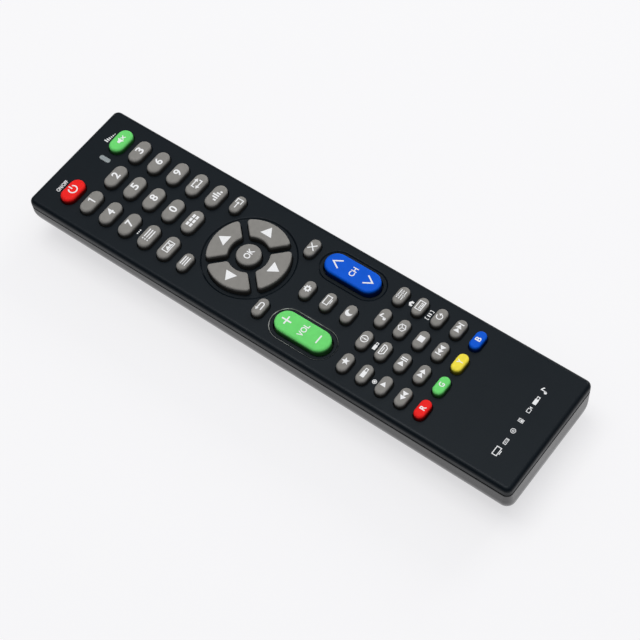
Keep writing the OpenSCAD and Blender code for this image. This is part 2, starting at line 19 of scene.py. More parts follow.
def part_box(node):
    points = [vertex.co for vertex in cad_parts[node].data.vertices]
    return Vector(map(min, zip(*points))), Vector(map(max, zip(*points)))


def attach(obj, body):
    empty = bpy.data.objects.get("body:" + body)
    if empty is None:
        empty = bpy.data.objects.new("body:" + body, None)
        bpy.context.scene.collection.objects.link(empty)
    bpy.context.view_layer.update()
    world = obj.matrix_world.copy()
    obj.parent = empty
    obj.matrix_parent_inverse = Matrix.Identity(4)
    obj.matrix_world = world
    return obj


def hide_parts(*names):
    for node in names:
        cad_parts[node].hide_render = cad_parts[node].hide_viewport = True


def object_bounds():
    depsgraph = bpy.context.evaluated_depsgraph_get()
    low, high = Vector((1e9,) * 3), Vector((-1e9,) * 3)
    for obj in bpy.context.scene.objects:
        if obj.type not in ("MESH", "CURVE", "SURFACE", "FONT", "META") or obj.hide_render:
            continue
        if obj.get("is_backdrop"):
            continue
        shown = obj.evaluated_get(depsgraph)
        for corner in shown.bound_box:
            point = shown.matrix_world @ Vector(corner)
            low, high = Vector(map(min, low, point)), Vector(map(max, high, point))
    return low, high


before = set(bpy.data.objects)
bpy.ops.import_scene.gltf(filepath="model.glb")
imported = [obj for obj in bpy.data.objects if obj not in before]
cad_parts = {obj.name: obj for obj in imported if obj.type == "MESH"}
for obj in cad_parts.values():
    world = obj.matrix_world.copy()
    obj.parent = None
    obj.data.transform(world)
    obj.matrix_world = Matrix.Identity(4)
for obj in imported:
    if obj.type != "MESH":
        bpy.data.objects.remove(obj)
CAD_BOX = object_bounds()

LOG = logging.getLogger("remote_control")
MM = 0.001
SHARP_ANGLE = math.radians(38)
ARC_STEPS = 14
DOT_STEPS = 24
INK_BED = 0.02

Point = tuple[float, float]
Loop = list[Point]
Shape = list[Loop]
Profile = list[tuple[float, float]]
Outline = Callable[[float], Loop]
Placing = Callable[[Loop], Loop]
Ring = list[bmesh.types.BMVert]
Colour = tuple[float, float, float]
Socket = bpy.types.NodeSocket
Node = bpy.types.Node
Material = bpy.types.Material
Mesh = bpy.types.Mesh
Thing = bpy.types.Object


# Finishes


class NodeSheet:
    """A node tree, with short calls to add and join nodes."""

    def __init__(self, tree: bpy.types.NodeTree) -> None:
        """Takes the tree."""
        self.tree = tree

    def feed(self, target: Socket, value: object) -> None:
        """Joins an input to a socket, or sets it to a constant."""
        if isinstance(value, Socket):
            self.tree.links.new(value, target)
        else:
            target.default_value = value

    def add(self, kind: str, settings: dict[str, str] | None = None, **inputs: object) -> Node:
        """Adds a node.

        Args:
            kind: Blender's name of the node type.
            settings: The node's own settings.
            inputs: Constants or sockets for its inputs, named with _ for each space.

        Returns:
            The new node.
        """
        node = self.tree.nodes.new(kind)
        for key, value in (settings or {}).items():
            setattr(node, key, value)
        for key, value in inputs.items():
            self.feed(node.inputs[key.replace("_", " ")], value)
        return node

    def math(self, operation: str, first: Socket, second: Socket | float) -> Socket:
        """Adds a step of arithmetic and returns its result."""
        node = self.add("ShaderNodeMath", {"operation": operation})
        self.feed(node.inputs[0], first)
        self.feed(node.inputs[1], second)
        return node.outputs[0]


def tinted(colour: Colour, factor: float) -> Colour:
    """Returns a colour made lighter or darker by a factor."""
    return tuple(min(1.0, c * factor) for c in colour)


class Surface(NodeSheet):
    """A new material's node tree, with patterns in the piece's own coordinates."""

    def __init__(self, name: str) -> None:
        """Starts a material of the given name with a bare shader."""
        self.material = bpy.data.materials.new(name)
        self.material.use_nodes = True
        super().__init__(self.material.node_tree)
        self.tree.nodes.clear()
        self.shader = self.add("ShaderNodeBsdfPrincipled")
        self.output = self.add("ShaderNodeOutputMaterial", Surface=self.shader.outputs[0])
        self.place = self.add("ShaderNodeTexCoord").outputs["Object"]

    def paint(self, **inputs: object) -> Material:
        """Sets or joins the shader's inputs, named with _ for each space, and returns the material."""
        for key, value in inputs.items():
            self.feed(self.shader.inputs[key.replace("_", " ")], value)
        return self.material

    def noise(self, size: float, detail: float = 2.0, roughness: float = 0.5) -> Socket:
        """Returns a noise pattern from 0 to 1, with spots of a size in millimetres."""
        node = self.add("ShaderNodeTexNoise", Vector=self.place, Scale=1 / (size * MM), Detail=detail,
                        Roughness=roughness)
        return node.outputs["Fac"]

    def along(self, axis: str) -> Socket:
        """Returns the place along the object's own X, Y or Z, in metres."""
        return self.add("ShaderNodeSeparateXYZ", Vector=self.place).outputs[axis]

    def ramp(self, value: Socket, low: float, high: float, start: float = 0.0, end: float = 1.0) -> Socket:
        """Maps a pattern's range from start to end onto a clamped range from low to high."""
        node = self.add("ShaderNodeMapRange", Value=value, From_Min=start, From_Max=end, To_Min=low, To_Max=high)
        return node.outputs["Result"]

    def blend(self, share: Socket, first: Colour, second: Colour | Socket) -> Socket:
        """Mixes two colours by a pattern, which is the second one's share."""
        node = self.add("ShaderNodeMix", {"data_type": "RGBA"}, Factor=share)
        low, high = (s for s in node.inputs if s.name in ("A", "B") and s.type == "RGBA")
        self.feed(low, (*first, 1.0))
        self.feed(high, second if isinstance(second, Socket) else (*second, 1.0))
        return next(s for s in node.outputs if s.type == "RGBA")

    def shades(self, share: Socket, colour: Colour, low: float, high: float = 1.0) -> Socket:
        """Varies a colour by a pattern between two factors."""
        return self.blend(share, tinted(colour, low), tinted(colour, high))

    def bump(self, height: Socket, depth: float, strength: float, under: Socket | None = None) -> Socket:
        """Turns a pattern into relief of a depth in millimetres, over another normal if one is given."""
        node = self.add("ShaderNodeBump", Height=height, Distance=depth * MM, Strength=strength)
        if under is not None:
            self.feed(node.inputs["Normal"], under)
        return node.outputs["Normal"]

    def mixed(self, share: Socket, first: Node, second: Node) -> Node:
        """Mixes two shaders by the second one's share."""
        node = self.add("ShaderNodeMixShader")
        for target, value in zip(node.inputs, (share, first.outputs[0], second.outputs[0])):
            self.feed(target, value)
        return node


@dataclass(frozen=True)
class Coat:
    """What every finish has."""

    name: str
    colour: Colour


@dataclass(frozen=True)
class MouldedShell(Coat):
    """Moulded plastic with a fine eroded grain and faint handling marks."""

    roughness: float
    gloss: float
    grain: float = 0.22
    grain_depth: float = 0.006
    # Tint of the specular reflection, a painted reflection colour: bluish on the black shell, standing in for the
    # bluish floor that its edges reflect.
    shine: Colour = (1.0, 1.0, 1.0)

    def material(self) -> Material:
        """Builds the material and returns it."""
        sheet = Surface(self.name)
        grain, cloud = sheet.noise(self.grain, 3.0, 0.6), sheet.noise(17.0, 3.0, 0.55)
        soft = sheet.bump(sheet.noise(1.6), 0.004, 0.5)
        return sheet.paint(
            Base_Color=sheet.shades(sheet.ramp(grain, 0.0, 1.0, 0.32, 0.68), self.colour, 0.8, 1.22),
            Roughness=sheet.ramp(cloud, self.roughness - 0.05, self.roughness + 0.06, 0.3, 0.7),
            Normal=sheet.bump(grain, self.grain_depth, 0.7, soft),
            Specular_IOR_Level=self.gloss, Specular_Tint=(*self.shine, 1.0))


@dataclass(frozen=True)
class KeyRubber(Coat):
    """Silicone rubber of a key, its colour darkened down the wall toward the foot as painted shade."""

    roughness: float = 0.58
    gloss: float = 0.1
    # Painted shade on the key walls: the share of the colour kept there, and the heights where the full colour starts
    # and ends.
    wall: float = 0.16
    spray_foot: float = 19.75
    spray_top: float = 21.0

    def material(self) -> Material:
        """Builds the material and returns it."""
        sheet = Surface(self.name)
        fine, bloom = sheet.noise(0.16, 2.0, 0.6), sheet.noise(2.4, 3.0, 0.6)
        top = sheet.shades(sheet.ramp(bloom, 0.0, 1.0, 0.3, 0.7), self.colour, 0.95, 1.05)
        # Painted shade: below the top's rounded edge the colour falls to a dark share of itself, standing in for the
        # shade on the walls.
        painted_shade = sheet.ramp(sheet.along("Z"), 0.0, 1.0, self.spray_foot * MM, self.spray_top * MM)
        return sheet.paint(
            Base_Color=sheet.blend(painted_shade, tinted(self.colour, self.wall), top),
            Roughness=sheet.ramp(fine, self.roughness - 0.06, self.roughness + 0.06, 0.3, 0.7),
            Normal=sheet.bump(fine, 0.004, 0.6), Specular_IOR_Level=self.gloss)


@dataclass(frozen=True)
class RubbedEdge(Coat):
    """Moulded edge that is paler and glossier in patches, most of all toward the far end."""

    # Colour of the pale patches.
    bare: Colour
    near: float = -27.0
    far: float = -9.0

    def material(self) -> Material:
        """Builds the material and returns it."""
        sheet = Surface(self.name)
        patch = sheet.ramp(sheet.noise(4.0, 3.0, 0.6), 0.3, 1.0, 0.4, 0.56)
        fade = sheet.ramp(sheet.along("Y"), 0.0, 1.0, self.near * MM, self.far * MM)
        return sheet.paint(
            Base_Color=sheet.blend(sheet.math("MULTIPLY", patch, fade), self.colour, self.bare),
            Roughness=sheet.ramp(patch, 0.4, 0.28), Specular_IOR_Level=0.35)


@dataclass(frozen=True)
class PrintInk(Coat):
    """Pad-printed ink with slightly uneven cover."""

    def material(self) -> Material:
        """Builds the material and returns it."""
        sheet = Surface(self.name)
        cover = sheet.noise(0.35, 3.0, 0.6)
        return sheet.paint(
            Base_Color=sheet.shades(sheet.ramp(cover, 0.0, 1.0, 0.35, 0.6), self.colour, 0.88),
            Roughness=sheet.ramp(cover, 0.42, 0.6), Normal=sheet.bump(cover, 0.003, 0.5), Specular_IOR_Level=0.4)


@dataclass(frozen=True)
class ClearPlastic(Coat):
    """Polished tinted plastic of the lens and the emitter."""

    clear: float
    roughness: float = 0.16

    def material(self) -> Material:
        """Builds the material and returns it."""
        sheet = Surface(self.name)
        cloud = sheet.noise(0.9)
        return sheet.paint(
            Base_Color=sheet.shades(cloud, self.colour, 0.85, 1.1),
            Roughness=sheet.ramp(cloud, self.roughness - 0.04, self.roughness + 0.06),
            Normal=sheet.bump(cloud, 0.004, 0.3),
            Transmission_Weight=self.clear, IOR=1.5, Coat_Weight=0.3, Coat_Roughness=0.1)


@dataclass(frozen=True)
class PlatedMetal(Coat):
    """Plated sheet or wire with fine drawing lines."""

    roughness: float
    grain: float = 0.3
    stretch: tuple[float, float, float] = (1.0, 0.06, 1.0)

    def material(self) -> Material:
        """Builds the material and returns it."""
        sheet = Surface(self.name)
        sheet.place = sheet.add("ShaderNodeMapping", Vector=sheet.place, Scale=self.stretch).outputs["Vector"]
        drawn = sheet.noise(self.grain, 3.0, 0.6)
        return sheet.paint(
            Base_Color=sheet.shades(drawn, self.colour, 0.86, 1.06),
            Roughness=sheet.ramp(drawn, self.roughness - 0.07, self.roughness + 0.1),
            Normal=sheet.bump(drawn, 0.004, 0.4), Metallic=1.0)


@dataclass(frozen=True)
class BoardLaminate(Coat):
    """Resin-bonded board with printed tracks and a dark resist on the key side."""

    track: Colour
    track_size: float = 3.1
    resist: Colour = (0.008, 0.012, 0.011)
    resist_foot: float = 15.0
    resist_top: float = 15.1

    def material(self) -> Material:
        """Builds the material and returns it."""
        sheet = Surface(self.name)
        weave = sheet.add("ShaderNodeTexVoronoi", {"feature": "DISTANCE_TO_EDGE", "distance": "MANHATTAN"},
                          Vector=sheet.place, Scale=1 / (self.track_size * MM))
        tracks = sheet.ramp(weave.outputs["Distance"], 1.0, 0.0, 0.03, 0.06)
        bare = sheet.ramp(sheet.along("Z"), 1.0, 0.0, self.resist_foot * MM, self.resist_top * MM)
        fibre = sheet.noise(0.5, 3.0)
        return sheet.paint(
            Base_Color=sheet.blend(bare, self.resist, sheet.blend(tracks, self.colour, self.track)),
            Roughness=sheet.ramp(fibre, 0.4, 0.6), Normal=sheet.bump(fibre, 0.006, 0.5))


class Finish(Enum):
    """Every finish on the remote control."""

    # The black shell's bluish specular tint is a painted reflection of the bluish floor.
    BLACK = MouldedShell("black_shell", (0.0026, 0.005, 0.0078), 0.38, 0.15, grain_depth=0.01,
                         shine=(0.86, 0.94, 1.0))
    GREY_SHELL = MouldedShell("grey_shell", (0.014, 0.0145, 0.016), 0.2, 0.52, grain_depth=0.002)
    GREY = KeyRubber("grey_rubber", (0.255, 0.245, 0.23))
    RED = KeyRubber("red_rubber", (0.9, 0.016, 0.014))
    GREEN = KeyRubber("green_rubber", (0.16, 0.71, 0.172))
    BLUE = KeyRubber("blue_rubber", (0.001, 0.098, 0.66))
    YELLOW = KeyRubber("yellow_rubber", (0.94, 0.78, 0.066))
    MAT = KeyRubber("mat_rubber", (0.05, 0.05, 0.055))
    RUBBED = RubbedEdge("rubbed_edge", (0.006, 0.008, 0.01), (0.6, 0.6, 0.585))
    INK = PrintInk("white_ink", (0.92, 0.92, 0.93))
    LENS = ClearPlastic("lens_plastic", (0.29, 0.325, 0.335), 0.0)
    EMITTER = ClearPlastic("emitter_epoxy", (0.78, 0.82, 0.88), 0.7)
    CONTACT = PlatedMetal("plated_contact", (0.74, 0.73, 0.7), 0.26)
    CELL = PlatedMetal("cell_sleeve", (0.6, 0.61, 0.63), 0.36, 0.5)
    SLEEVE = KeyRubber("cell_film", (0.045, 0.06, 0.09), 0.3, 0.5)
    BOARD = BoardLaminate("board_laminate", (0.2, 0.1, 0.035), (0.45, 0.24, 0.07))

    @cache
    def material(self) -> Material:
        """Returns the finish's material, which is made once."""
        return self.value.material()


# Outlines and meshes


def arc(cx: float, cy: float, r: float, start: float, end: float, steps: int = ARC_STEPS) -> Loop:
    """Returns the points of an arc about a middle, from one angle in degrees to another."""
    angles = [math.radians(start + (end - start) * i / steps) for i in range(steps + 1)]
    return [(cx + r * math.cos(a), cy + r * math.sin(a)) for a in angles]


def circle(cx: float, cy: float, r: float, steps: int = DOT_STEPS) -> Loop:
    """Returns the points of a circle about a middle."""
    return arc(cx, cy, r, 0, 360, steps)[:-1]


def turned(loop: Loop, degrees: float) -> Loop:
    """Returns a loop turned about the origin."""
    c, s = math.cos(math.radians(degrees)), math.sin(math.radians(degrees))
    return [(x * c - y * s, x * s + y * c) for x, y in loop]


def moved(loop: Loop, dx: float, dy: float) -> Loop:
    """Returns a loop moved sideways and lengthways."""
    return [(x + dx, y + dy) for x, y in loop]


def pill(w: float, h: float) -> Outline:
    """Returns the outline of a pill that lies along X, as a function of its growth."""
    half = (w - h) / 2
    return lambda d: arc(half, 0, h / 2 + d, -90, 90) + arc(-half, 0, h / 2 + d, 90, 270)


def disc(r: float) -> Outline:
    """Returns the outline of a circle as a function of its growth."""
    return lambda d: circle(0, 0, r + d, 4 * ARC_STEPS)


def rounded_box(w: float, l: float, r: float) -> Outline:
    """Returns the outline of a rectangle with round corners as a function of its growth."""
    corners = ((1, 1, 0), (-1, 1, 90), (-1, -1, 180), (1, -1, 270))
    return lambda d: [p for sx, sy, a in corners
                      for p in arc(sx * (w / 2 - r), sy * (l / 2 - r), r + d, a, a + 90, ARC_STEPS // 2)]


def sector(r_in: float, r_out: float, spoke: float, soft: float) -> Outline:
    """Returns the outline of the upper direction key as a function of its growth.

    Args:
        r_in: Inner radius.
        r_out: Outer radius.
        spoke: Gap to the neighbouring keys.
        soft: Radius of its plan corners.

    Returns:
        A function from growth to the outline's points.
    """
    shift = (spoke / 2 + soft) * math.sqrt(2)
    inner, outer = r_in + soft, r_out - soft

    def corner(r: float) -> Point:
        """Returns where a circle of radius r meets the right-hand edge line y = x + shift."""
        x = (-shift + math.sqrt(2 * r * r - shift * shift)) / 2
        return x, x + shift

    low, high = corner(inner), corner(outer)
    low_angle, high_angle = (math.degrees(math.atan2(p[1], p[0])) for p in (low, high))
    steps = ARC_STEPS // 2

    def points(d: float) -> Loop:
        """Returns the outline grown by d."""
        c = soft + d
        right = arc(*low, c, low_angle - 180, -45, steps) + arc(*high, c, -45, high_angle, steps)
        top = arc(0, 0, outer + c, high_angle, 180 - high_angle, 2 * ARC_STEPS)[1:-1]
        left = [(-x, y) for x, y in reversed(right)]
        bottom = arc(0, 0, inner - c, 180 - low_angle, low_angle, ARC_STEPS)[1:-1]
        return right + top + left + bottom

    return points


class Loft:
    """Joins stacked loops into one closed mesh."""

    def __init__(self) -> None:
        """Starts with no points."""
        self.bm = bmesh.new()

    def ring(self, loop: Loop, z: float) -> Ring:
        """Adds a level loop of points and returns its vertices."""
        return [self.bm.verts.new((x * MM, y * MM, z * MM)) for x, y in loop]

    def walls(self, rings: Sequence[Ring]) -> None:
        """Joins rings of equal count, each to the next."""
        for low, high in zip(rings, rings[1:]):
            n = len(low)
            for i in range(n):
                j = (i + 1) % n
                self.bm.faces.new((low[i], low[j], high[j], high[i]))

    def stack(self, outline: Outline, profile: Profile, place: Placing = lambda loop: loop) -> list[Ring]:
        """Sweeps a profile, pairs of growth and height, round a placed outline and returns the rings."""
        rings = [self.ring(place(outline(d)), z) for d, z in profile]
        self.walls(rings)
        return rings

    def cap(self, *rings: Ring) -> None:
        """Closes the level area inside the first ring and outside the others."""
        flat = [v for ring in rings for v in ring]
        loops = [[Vector((v.co.x / MM, v.co.y / MM, 0)) for v in ring] for ring in rings]
        for a, b, c in tessellate_polygon(loops):
            self.bm.faces.new((flat[a], flat[b], flat[c]))

    def close(self, rings: Sequence[Ring]) -> None:
        """Closes the first and the last ring."""
        self.cap(rings[0])
        self.cap(rings[-1])

    def mesh(self, name: str) -> Mesh:
        """Closes the work and returns it as a smooth mesh with sharp corners kept."""
        bmesh.ops.recalc_face_normals(self.bm, faces=self.bm.faces)
        return finished(self.bm, name)


def finished(bm: bmesh.types.BMesh, name: str) -> Mesh:
    """Shades a bmesh smooth, except over sharp edges, frees it and returns it as a mesh."""
    for face in bm.faces:
        face.smooth = True
    for edge in bm.edges:
        edge.smooth = len(edge.link_faces) == 2 and edge.calc_face_angle(0.0) < SHARP_ANGLE
    mesh = bpy.data.meshes.new(name)
    bm.to_mesh(mesh)
    bm.free()
    return mesh


def quarter(steps: int) -> list[float]:
    """Returns the angles of a quarter turn."""
    return [math.radians(90 * i / steps) for i in range(steps + 1)]


def round_edge(r: float, z: float, steps: int = 7, foot: float = 0.12, level: float = 0.14) -> Profile:
    """Returns the profile of an upper edge of radius r at height z, between a short foot and a level stretch."""
    bend = [(r * math.cos(a) - r, z - r + r * math.sin(a)) for a in quarter(steps)]
    return [(0.0, z - r - foot)] + bend + [(-r - level, z)]


def rim_edge(r: float, z: float, d: float, foot: float, steps: int = 4, level: float = 0.12) -> Profile:
    """Returns the profile of a hole's softened rim, from the level face down to its foot."""
    bend = [(d + r - r * math.sin(a), z - r + r * math.cos(a)) for a in quarter(steps)]
    return [(d + r + level, z)] + bend + [(d, foot)]


def put(name: str, data: bpy.types.ID) -> Thing:
    """Puts an object with the given data into the scene."""
    thing = bpy.data.objects.new(name, data)
    bpy.context.scene.collection.objects.link(thing)
    return thing


def add_piece(mesh: Mesh, body: str, finish: Finish, slot: str, replaces: Sequence[str] = ()) -> None:
    """Puts a mesh into the scene as a finished piece.

    Args:
        mesh: The piece's mesh, in its place.
        body: The body that it moves with.
        finish: Its finish.
        slot: A material slot's name, which is not used.
        replaces: Solids that it stands for.
    """
    piece = put(mesh.name, mesh)
    if not mesh.materials:
        mesh.materials.append(finish.material())
    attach(piece, body)
    if replaces:
        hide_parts(*replaces)
    LOG.info("%s rides on %s", piece.name, body)


def repaint(node: str, finish: Finish) -> None:
    """Gives a solid that stays in view a finish."""
    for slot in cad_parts[node].material_slots:
        slot.material = finish.material()
    LOG.info("%s keeps its solid", node)


def joined(source: Mesh, name: str) -> Thing:
    """Puts a copy of a mesh into the scene, with its points joined and its curved faces shaded smooth."""
    bm = bmesh.new()
    bm.from_mesh(source)
    bmesh.ops.remove_doubles(bm, verts=bm.verts, dist=0.002 * MM)
    bmesh.ops.dissolve_degenerate(bm, edges=bm.edges, dist=0.001 * MM)
    mesh = finished(bm, name + "_plain")
    mesh.materials.clear()
    return put(name + "_plain", mesh)


def smooth_copy(node: str, name: str, mould: Thing | None = None) -> Mesh:
    """Copies a solid's mesh with its curved faces shaded smooth.

    Args:
        node: The solid's node.
        name: The new mesh's name.
        mould: A closed shape that the copy is trimmed to.

    Returns:
        The copy.
    """
    holder = joined(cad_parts[node].data, name)
    if mould is not None:
        trim = holder.modifiers.new("trim", "BOOLEAN")
        trim.operation, trim.solver, trim.object = "INTERSECT", "EXACT", mould
        rough = baked(holder, name + "_rough")
        holder = joined(rough, name)
        bpy.data.meshes.remove(rough)
    weighted = holder.modifiers.new("even_shading", "WEIGHTED_NORMAL")
    weighted.keep_sharp, weighted.mode = True, "FACE_AREA"
    return baked(holder, name)


def baked(holder: Thing, name: str) -> Mesh:
    """Returns an object's final form as a plain mesh of the given name and removes the object."""
    graph = bpy.context.evaluated_depsgraph_get()
    graph.update()
    mesh = bpy.data.meshes.new_from_object(holder.evaluated_get(graph))
    source = holder.data
    bpy.data.objects.remove(holder)
    if source.users == 0 and isinstance(source, Mesh):
        bpy.data.meshes.remove(source)
    mesh.name = name
    return mesh


# Printed marks


def bar(x0: float, y0: float, x1: float, y1: float) -> Shape:
    """Returns a filled rectangle."""
    return [[(x0, y0), (x1, y0), (x1, y1), (x0, y1)]]


def block(x: float, y: float, w: float, h: float) -> Shape:
    """Returns a filled rectangle about a middle, with half its width and height."""
    return bar(x - w, y - h, x + w, y + h)


def dot(x: float, y: float, r: float) -> Shape:
    """Returns a filled circle."""
    return [circle(x, y, r)]


def ring(r: float, width: float) -> Shape:
    """Returns a circular line."""
    return [circle(0, 0, r, 32), circle(0, 0, r - width, 32)]


def box_line(w: float, h: float, width: float, y: float = 0.0) -> Shape:
    """Returns a rectangular line."""
    return block(0, y, w / 2, h / 2) + block(0, y, w / 2 - width, h / 2 - width)


def line(points: Sequence[Point], width: float, closed: bool = False) -> Shape:
    """Returns a line of even width with mitred corners.

    Args:
        points: The line's middle.
        width: Its width.
        closed: Whether the last point joins the first.

    Returns:
        The shape's loops, two where the line is closed.
    """
    n = len(points)
    left, right = [], []
    for i, (x, y) in enumerate(points):
        before = points[i - 1] if i or closed else None
        after = points[(i + 1) % n] if i < n - 1 or closed else None
        legs = [Vector((b[0] - a[0], b[1] - a[1])).normalized()
                for a, b in ((before, (x, y)), ((x, y), after)) if a is not None and b is not None]
        normals = [Vector((-leg.y, leg.x)) for leg in legs]
        mitre = sum(normals, Vector((0, 0))).normalized()
        reach = mitre * (width / 2 / mitre.dot(normals[0]))
        left.append((x + reach.x, y + reach.y))
        right.append((x - reach.x, y - reach.y))
    return [left, right] if closed else [left + right[::-1]]


def band(r: float, width: float, start: float, end: float) -> Shape:
    """Returns a curved line along an arc."""
    return [arc(0, 0, r + width / 2, start, end, DOT_STEPS) + arc(0, 0, r - width / 2, end, start, DOT_STEPS)]


def cross(size: float, width: float, x: float = 0.0) -> Shape:
    """Returns a diagonal cross."""
    s, w = size / math.sqrt(2) + width / 2, width / 2
    plus = [(w, w), (w, s), (-w, s), (-w, w), (-s, w), (-s, -w),
            (-w, -w), (-w, -s), (w, -s), (w, -w), (s, -w), (s, w)]
    return [moved(turned(plus, 45), x, 0)]


def wedge(x: float, y: float, w: float, h: float, degrees: float = 0.0) -> Shape:
    """Returns a triangle that points along +X before it is turned about its middle."""
    return [moved(turned([(-w / 2, -h / 2), (w / 2, 0), (-w / 2, h / 2)], degrees), x, y)]


def spikes(points: int, r_out: float, r_in: float) -> Shape:
    """Returns a star with a point at the top."""
    return [[turned([(0, r_in if i % 2 else r_out)], -180 * i / points)[0] for i in range(2 * points)]]


def gear(teeth: int, r_out: float, r_in: float, bore: float) -> Shape:
    """Returns a toothed wheel."""
    tooth = ((-13, r_in), (-9, r_out), (9, r_out), (13, r_in))
    loop = [turned([(r, 0)], 360 * i / teeth + a)[0] for i in range(teeth) for a, r in tooth]
    return [loop, circle(0, 0, bore)]


def crescent(r: float, open_half: float, reach: float, tilt: float) -> Shape:
    """Returns a waning moon."""
    a = math.radians(open_half)
    x, y = r * math.cos(a), r * math.sin(a)
    inner, half = math.hypot(x - reach, y), math.degrees(math.atan2(y, x - reach))
    loop = arc(0, 0, r, open_half, 360 - open_half, 28) + arc(reach, 0, inner, 360 - half, half, 20)[1:-1]
    return [turned(loop, tilt)]


DIGIT_ONE: Loop = [(-0.7, 0.75), (-0.7, 1.2), (-0.2, 1.3), (0.08, 1.55), (0.42, 1.55), (0.42, -1.55), (-0.06, -1.55),
                   (-0.06, 0.78)]
SPEAKER_CONE: Loop = [(-1.6, -0.55), (-0.8, -0.55), (0.1, -1.35), (0.1, 1.35), (-0.8, 0.55), (-1.6, 0.55)]


class Mark(Enum):
    """Signs, each a list of shapes in millimetres about its middle, named after the key that it stands on."""


class PowerMark(Mark):
    """Signs of the two power keys."""

    POWER = [band(1.5, 0.45, 127, 413), bar(-0.22, 0.25, 0.22, 1.95)]
    MUTE = [[SPEAKER_CONE], cross(1.15, 0.34, 1.05)]


class WideMark(Mark):
    """Signs of the wide keys below the numbers."""

    CHANNEL_LIST = [s for y in (1.15, 0, -1.15) for s in (block(-2.4, y, 0.3, 0.28), block(0.55, y, 2.15, 0.24))]
    RECALL = [line([(-2.0, -0.2), (-2.0, 1.1), (0.9, 1.1)], 0.5), wedge(1.55, 1.1, 1.4, 1.8),
              line([(2.0, 0.2), (2.0, -1.1), (-0.9, -1.1)], 0.5), wedge(-1.55, -1.1, 1.4, 1.8, 180)]
    PICTURE_MODE = [box_line(5.2, 3.1, 0.38), [[(-1.9, -0.95), (-0.55, 0.75), (0.8, -0.95)]],
                    [[(0.35, -0.05), (0.9, 0.35), (1.9, -0.95), (1.05, -0.95)]], dot(1.25, 0.7, 0.36)]
    GUIDE = [block(x, y, 0.8, 0.55) for x in (-2.05, 0, 2.05) for y in (0.8, -0.8)]
    SOUND_MODE = [bar(x - 0.34, -1.5, x + 0.34, -1.5 + h)
                  for x, h in ((-2.2, 1.3), (-1.1, 2.5), (0, 3.0), (1.1, 1.9), (2.2, 1.0))]


class SmallMark(Mark):
    """Signs of the small keys."""

    MENU = [block(0, y, 2.1, 0.23) for y in (1.0, 0, -1.0)]
    SOURCE = [line([(0.1, 1.25), (2.1, 1.25), (2.1, -1.25), (0.1, -1.25)], 0.42),
              bar(-2.3, -0.22, 0.0, 0.22), wedge(0.5, 0, 1.0, 1.5)]
    RETURN = [line([(-1.1, 0.725), *arc(0.9, -0.125, 0.85, 90, -90, DOT_STEPS), (-1.5, -0.975)], 0.45),
              wedge(-1.6, 0.725, 1.1, 1.5, 180)]
    EXIT = [cross(2.5, 0.46)]
    SET = [gear(8, 1.55, 1.2, 0.55)]
    DISPLAY = [box_line(4.3, 2.4, 0.38, 0.3), bar(-1.0, -1.5, 1.0, -1.15)]
    SLEEP = [crescent(1.5, 50, 1.1, -28)]
    FAVOURITE = [spikes(5, 1.75, 0.72)]
    INFO = [ring(1.6, 0.36), bar(-0.24, -0.95, 0.24, 0.3), bar(-0.24, 0.52, 0.24, 0.96)]
    AUDIO = [dot(-0.7, -1.0, 0.62), bar(-0.4, -1.0, -0.02, 1.5),
             [[(-0.02, 1.5), (-0.02, 0.85), (1.25, 0.2), (1.25, 0.85)]]]
    DEFINE = [s for y, x in ((1.05, -0.9), (0, 0.9), (-1.05, -0.2))
              for s in (block(0, y, 2.1, 0.16), block(x, y, 0.3, 0.44))]
    MEDIA_PORT = [bar(-2.1, -0.85, 0.6, 0.85), line([(0.6, 0.5), (1.9, 0.5), (1.9, -0.5), (0.6, -0.5)], 0.34)]
    VIDEO_PORT = [line([(-2.1, 0.95), (2.1, 0.95), (2.1, 0.0), (1.3, -0.95), (-1.3, -0.95), (-2.1, 0.0)], 0.4, True),
                  bar(-1.2, 0.02, 1.2, 0.36)]
    DEPTH = [line([turned([(0, 1.6)], 60 * i)[0] for i in range(6)], 0.36, True),
             *[line([(0, 0), turned([(0, 1.45)], 60 + 120 * i)[0]], 0.34) for i in range(3)]]
    SUBTITLE = [box_line(4.4, 2.8, 0.36), bar(-1.5, -0.25, 0.3, 0.1), bar(0.6, -0.25, 1.5, 0.1),
                bar(-1.5, -0.85, -0.7, -0.5), bar(-0.4, -0.85, 1.5, -0.5)]
    PLAY = [wedge(0.1, 0, 1.7, 2.1)]
    PLAY_PAUSE = [wedge(-0.65, 0, 1.8, 2.3), bar(0.4, -1.15, 0.82, 1.15), bar(1.13, -1.15, 1.55, 1.15)]
    STOP = [block(0, 0, 1.1, 1.05)]
    ROTATE = [band(1.2, 0.42, 75, 350), wedge(1.05, 0.35, 1.0, 1.4, 90)]
    REWIND = [wedge(-0.8, 0, 1.6, 2.2, 180), wedge(0.8, 0, 1.6, 2.2, 180)]
    FORWARD = [wedge(-0.8, 0, 1.6, 2.2), wedge(0.8, 0, 1.6, 2.2)]
    PREVIOUS = [bar(-1.75, -1.1, -1.3, 1.1), wedge(-0.55, 0, 1.5, 2.2, 180), wedge(0.95, 0, 1.5, 2.2, 180)]
    NEXT = [bar(1.3, -1.1, 1.75, 1.1), wedge(0.55, 0, 1.5, 2.2), wedge(-0.95, 0, 1.5, 2.2)]


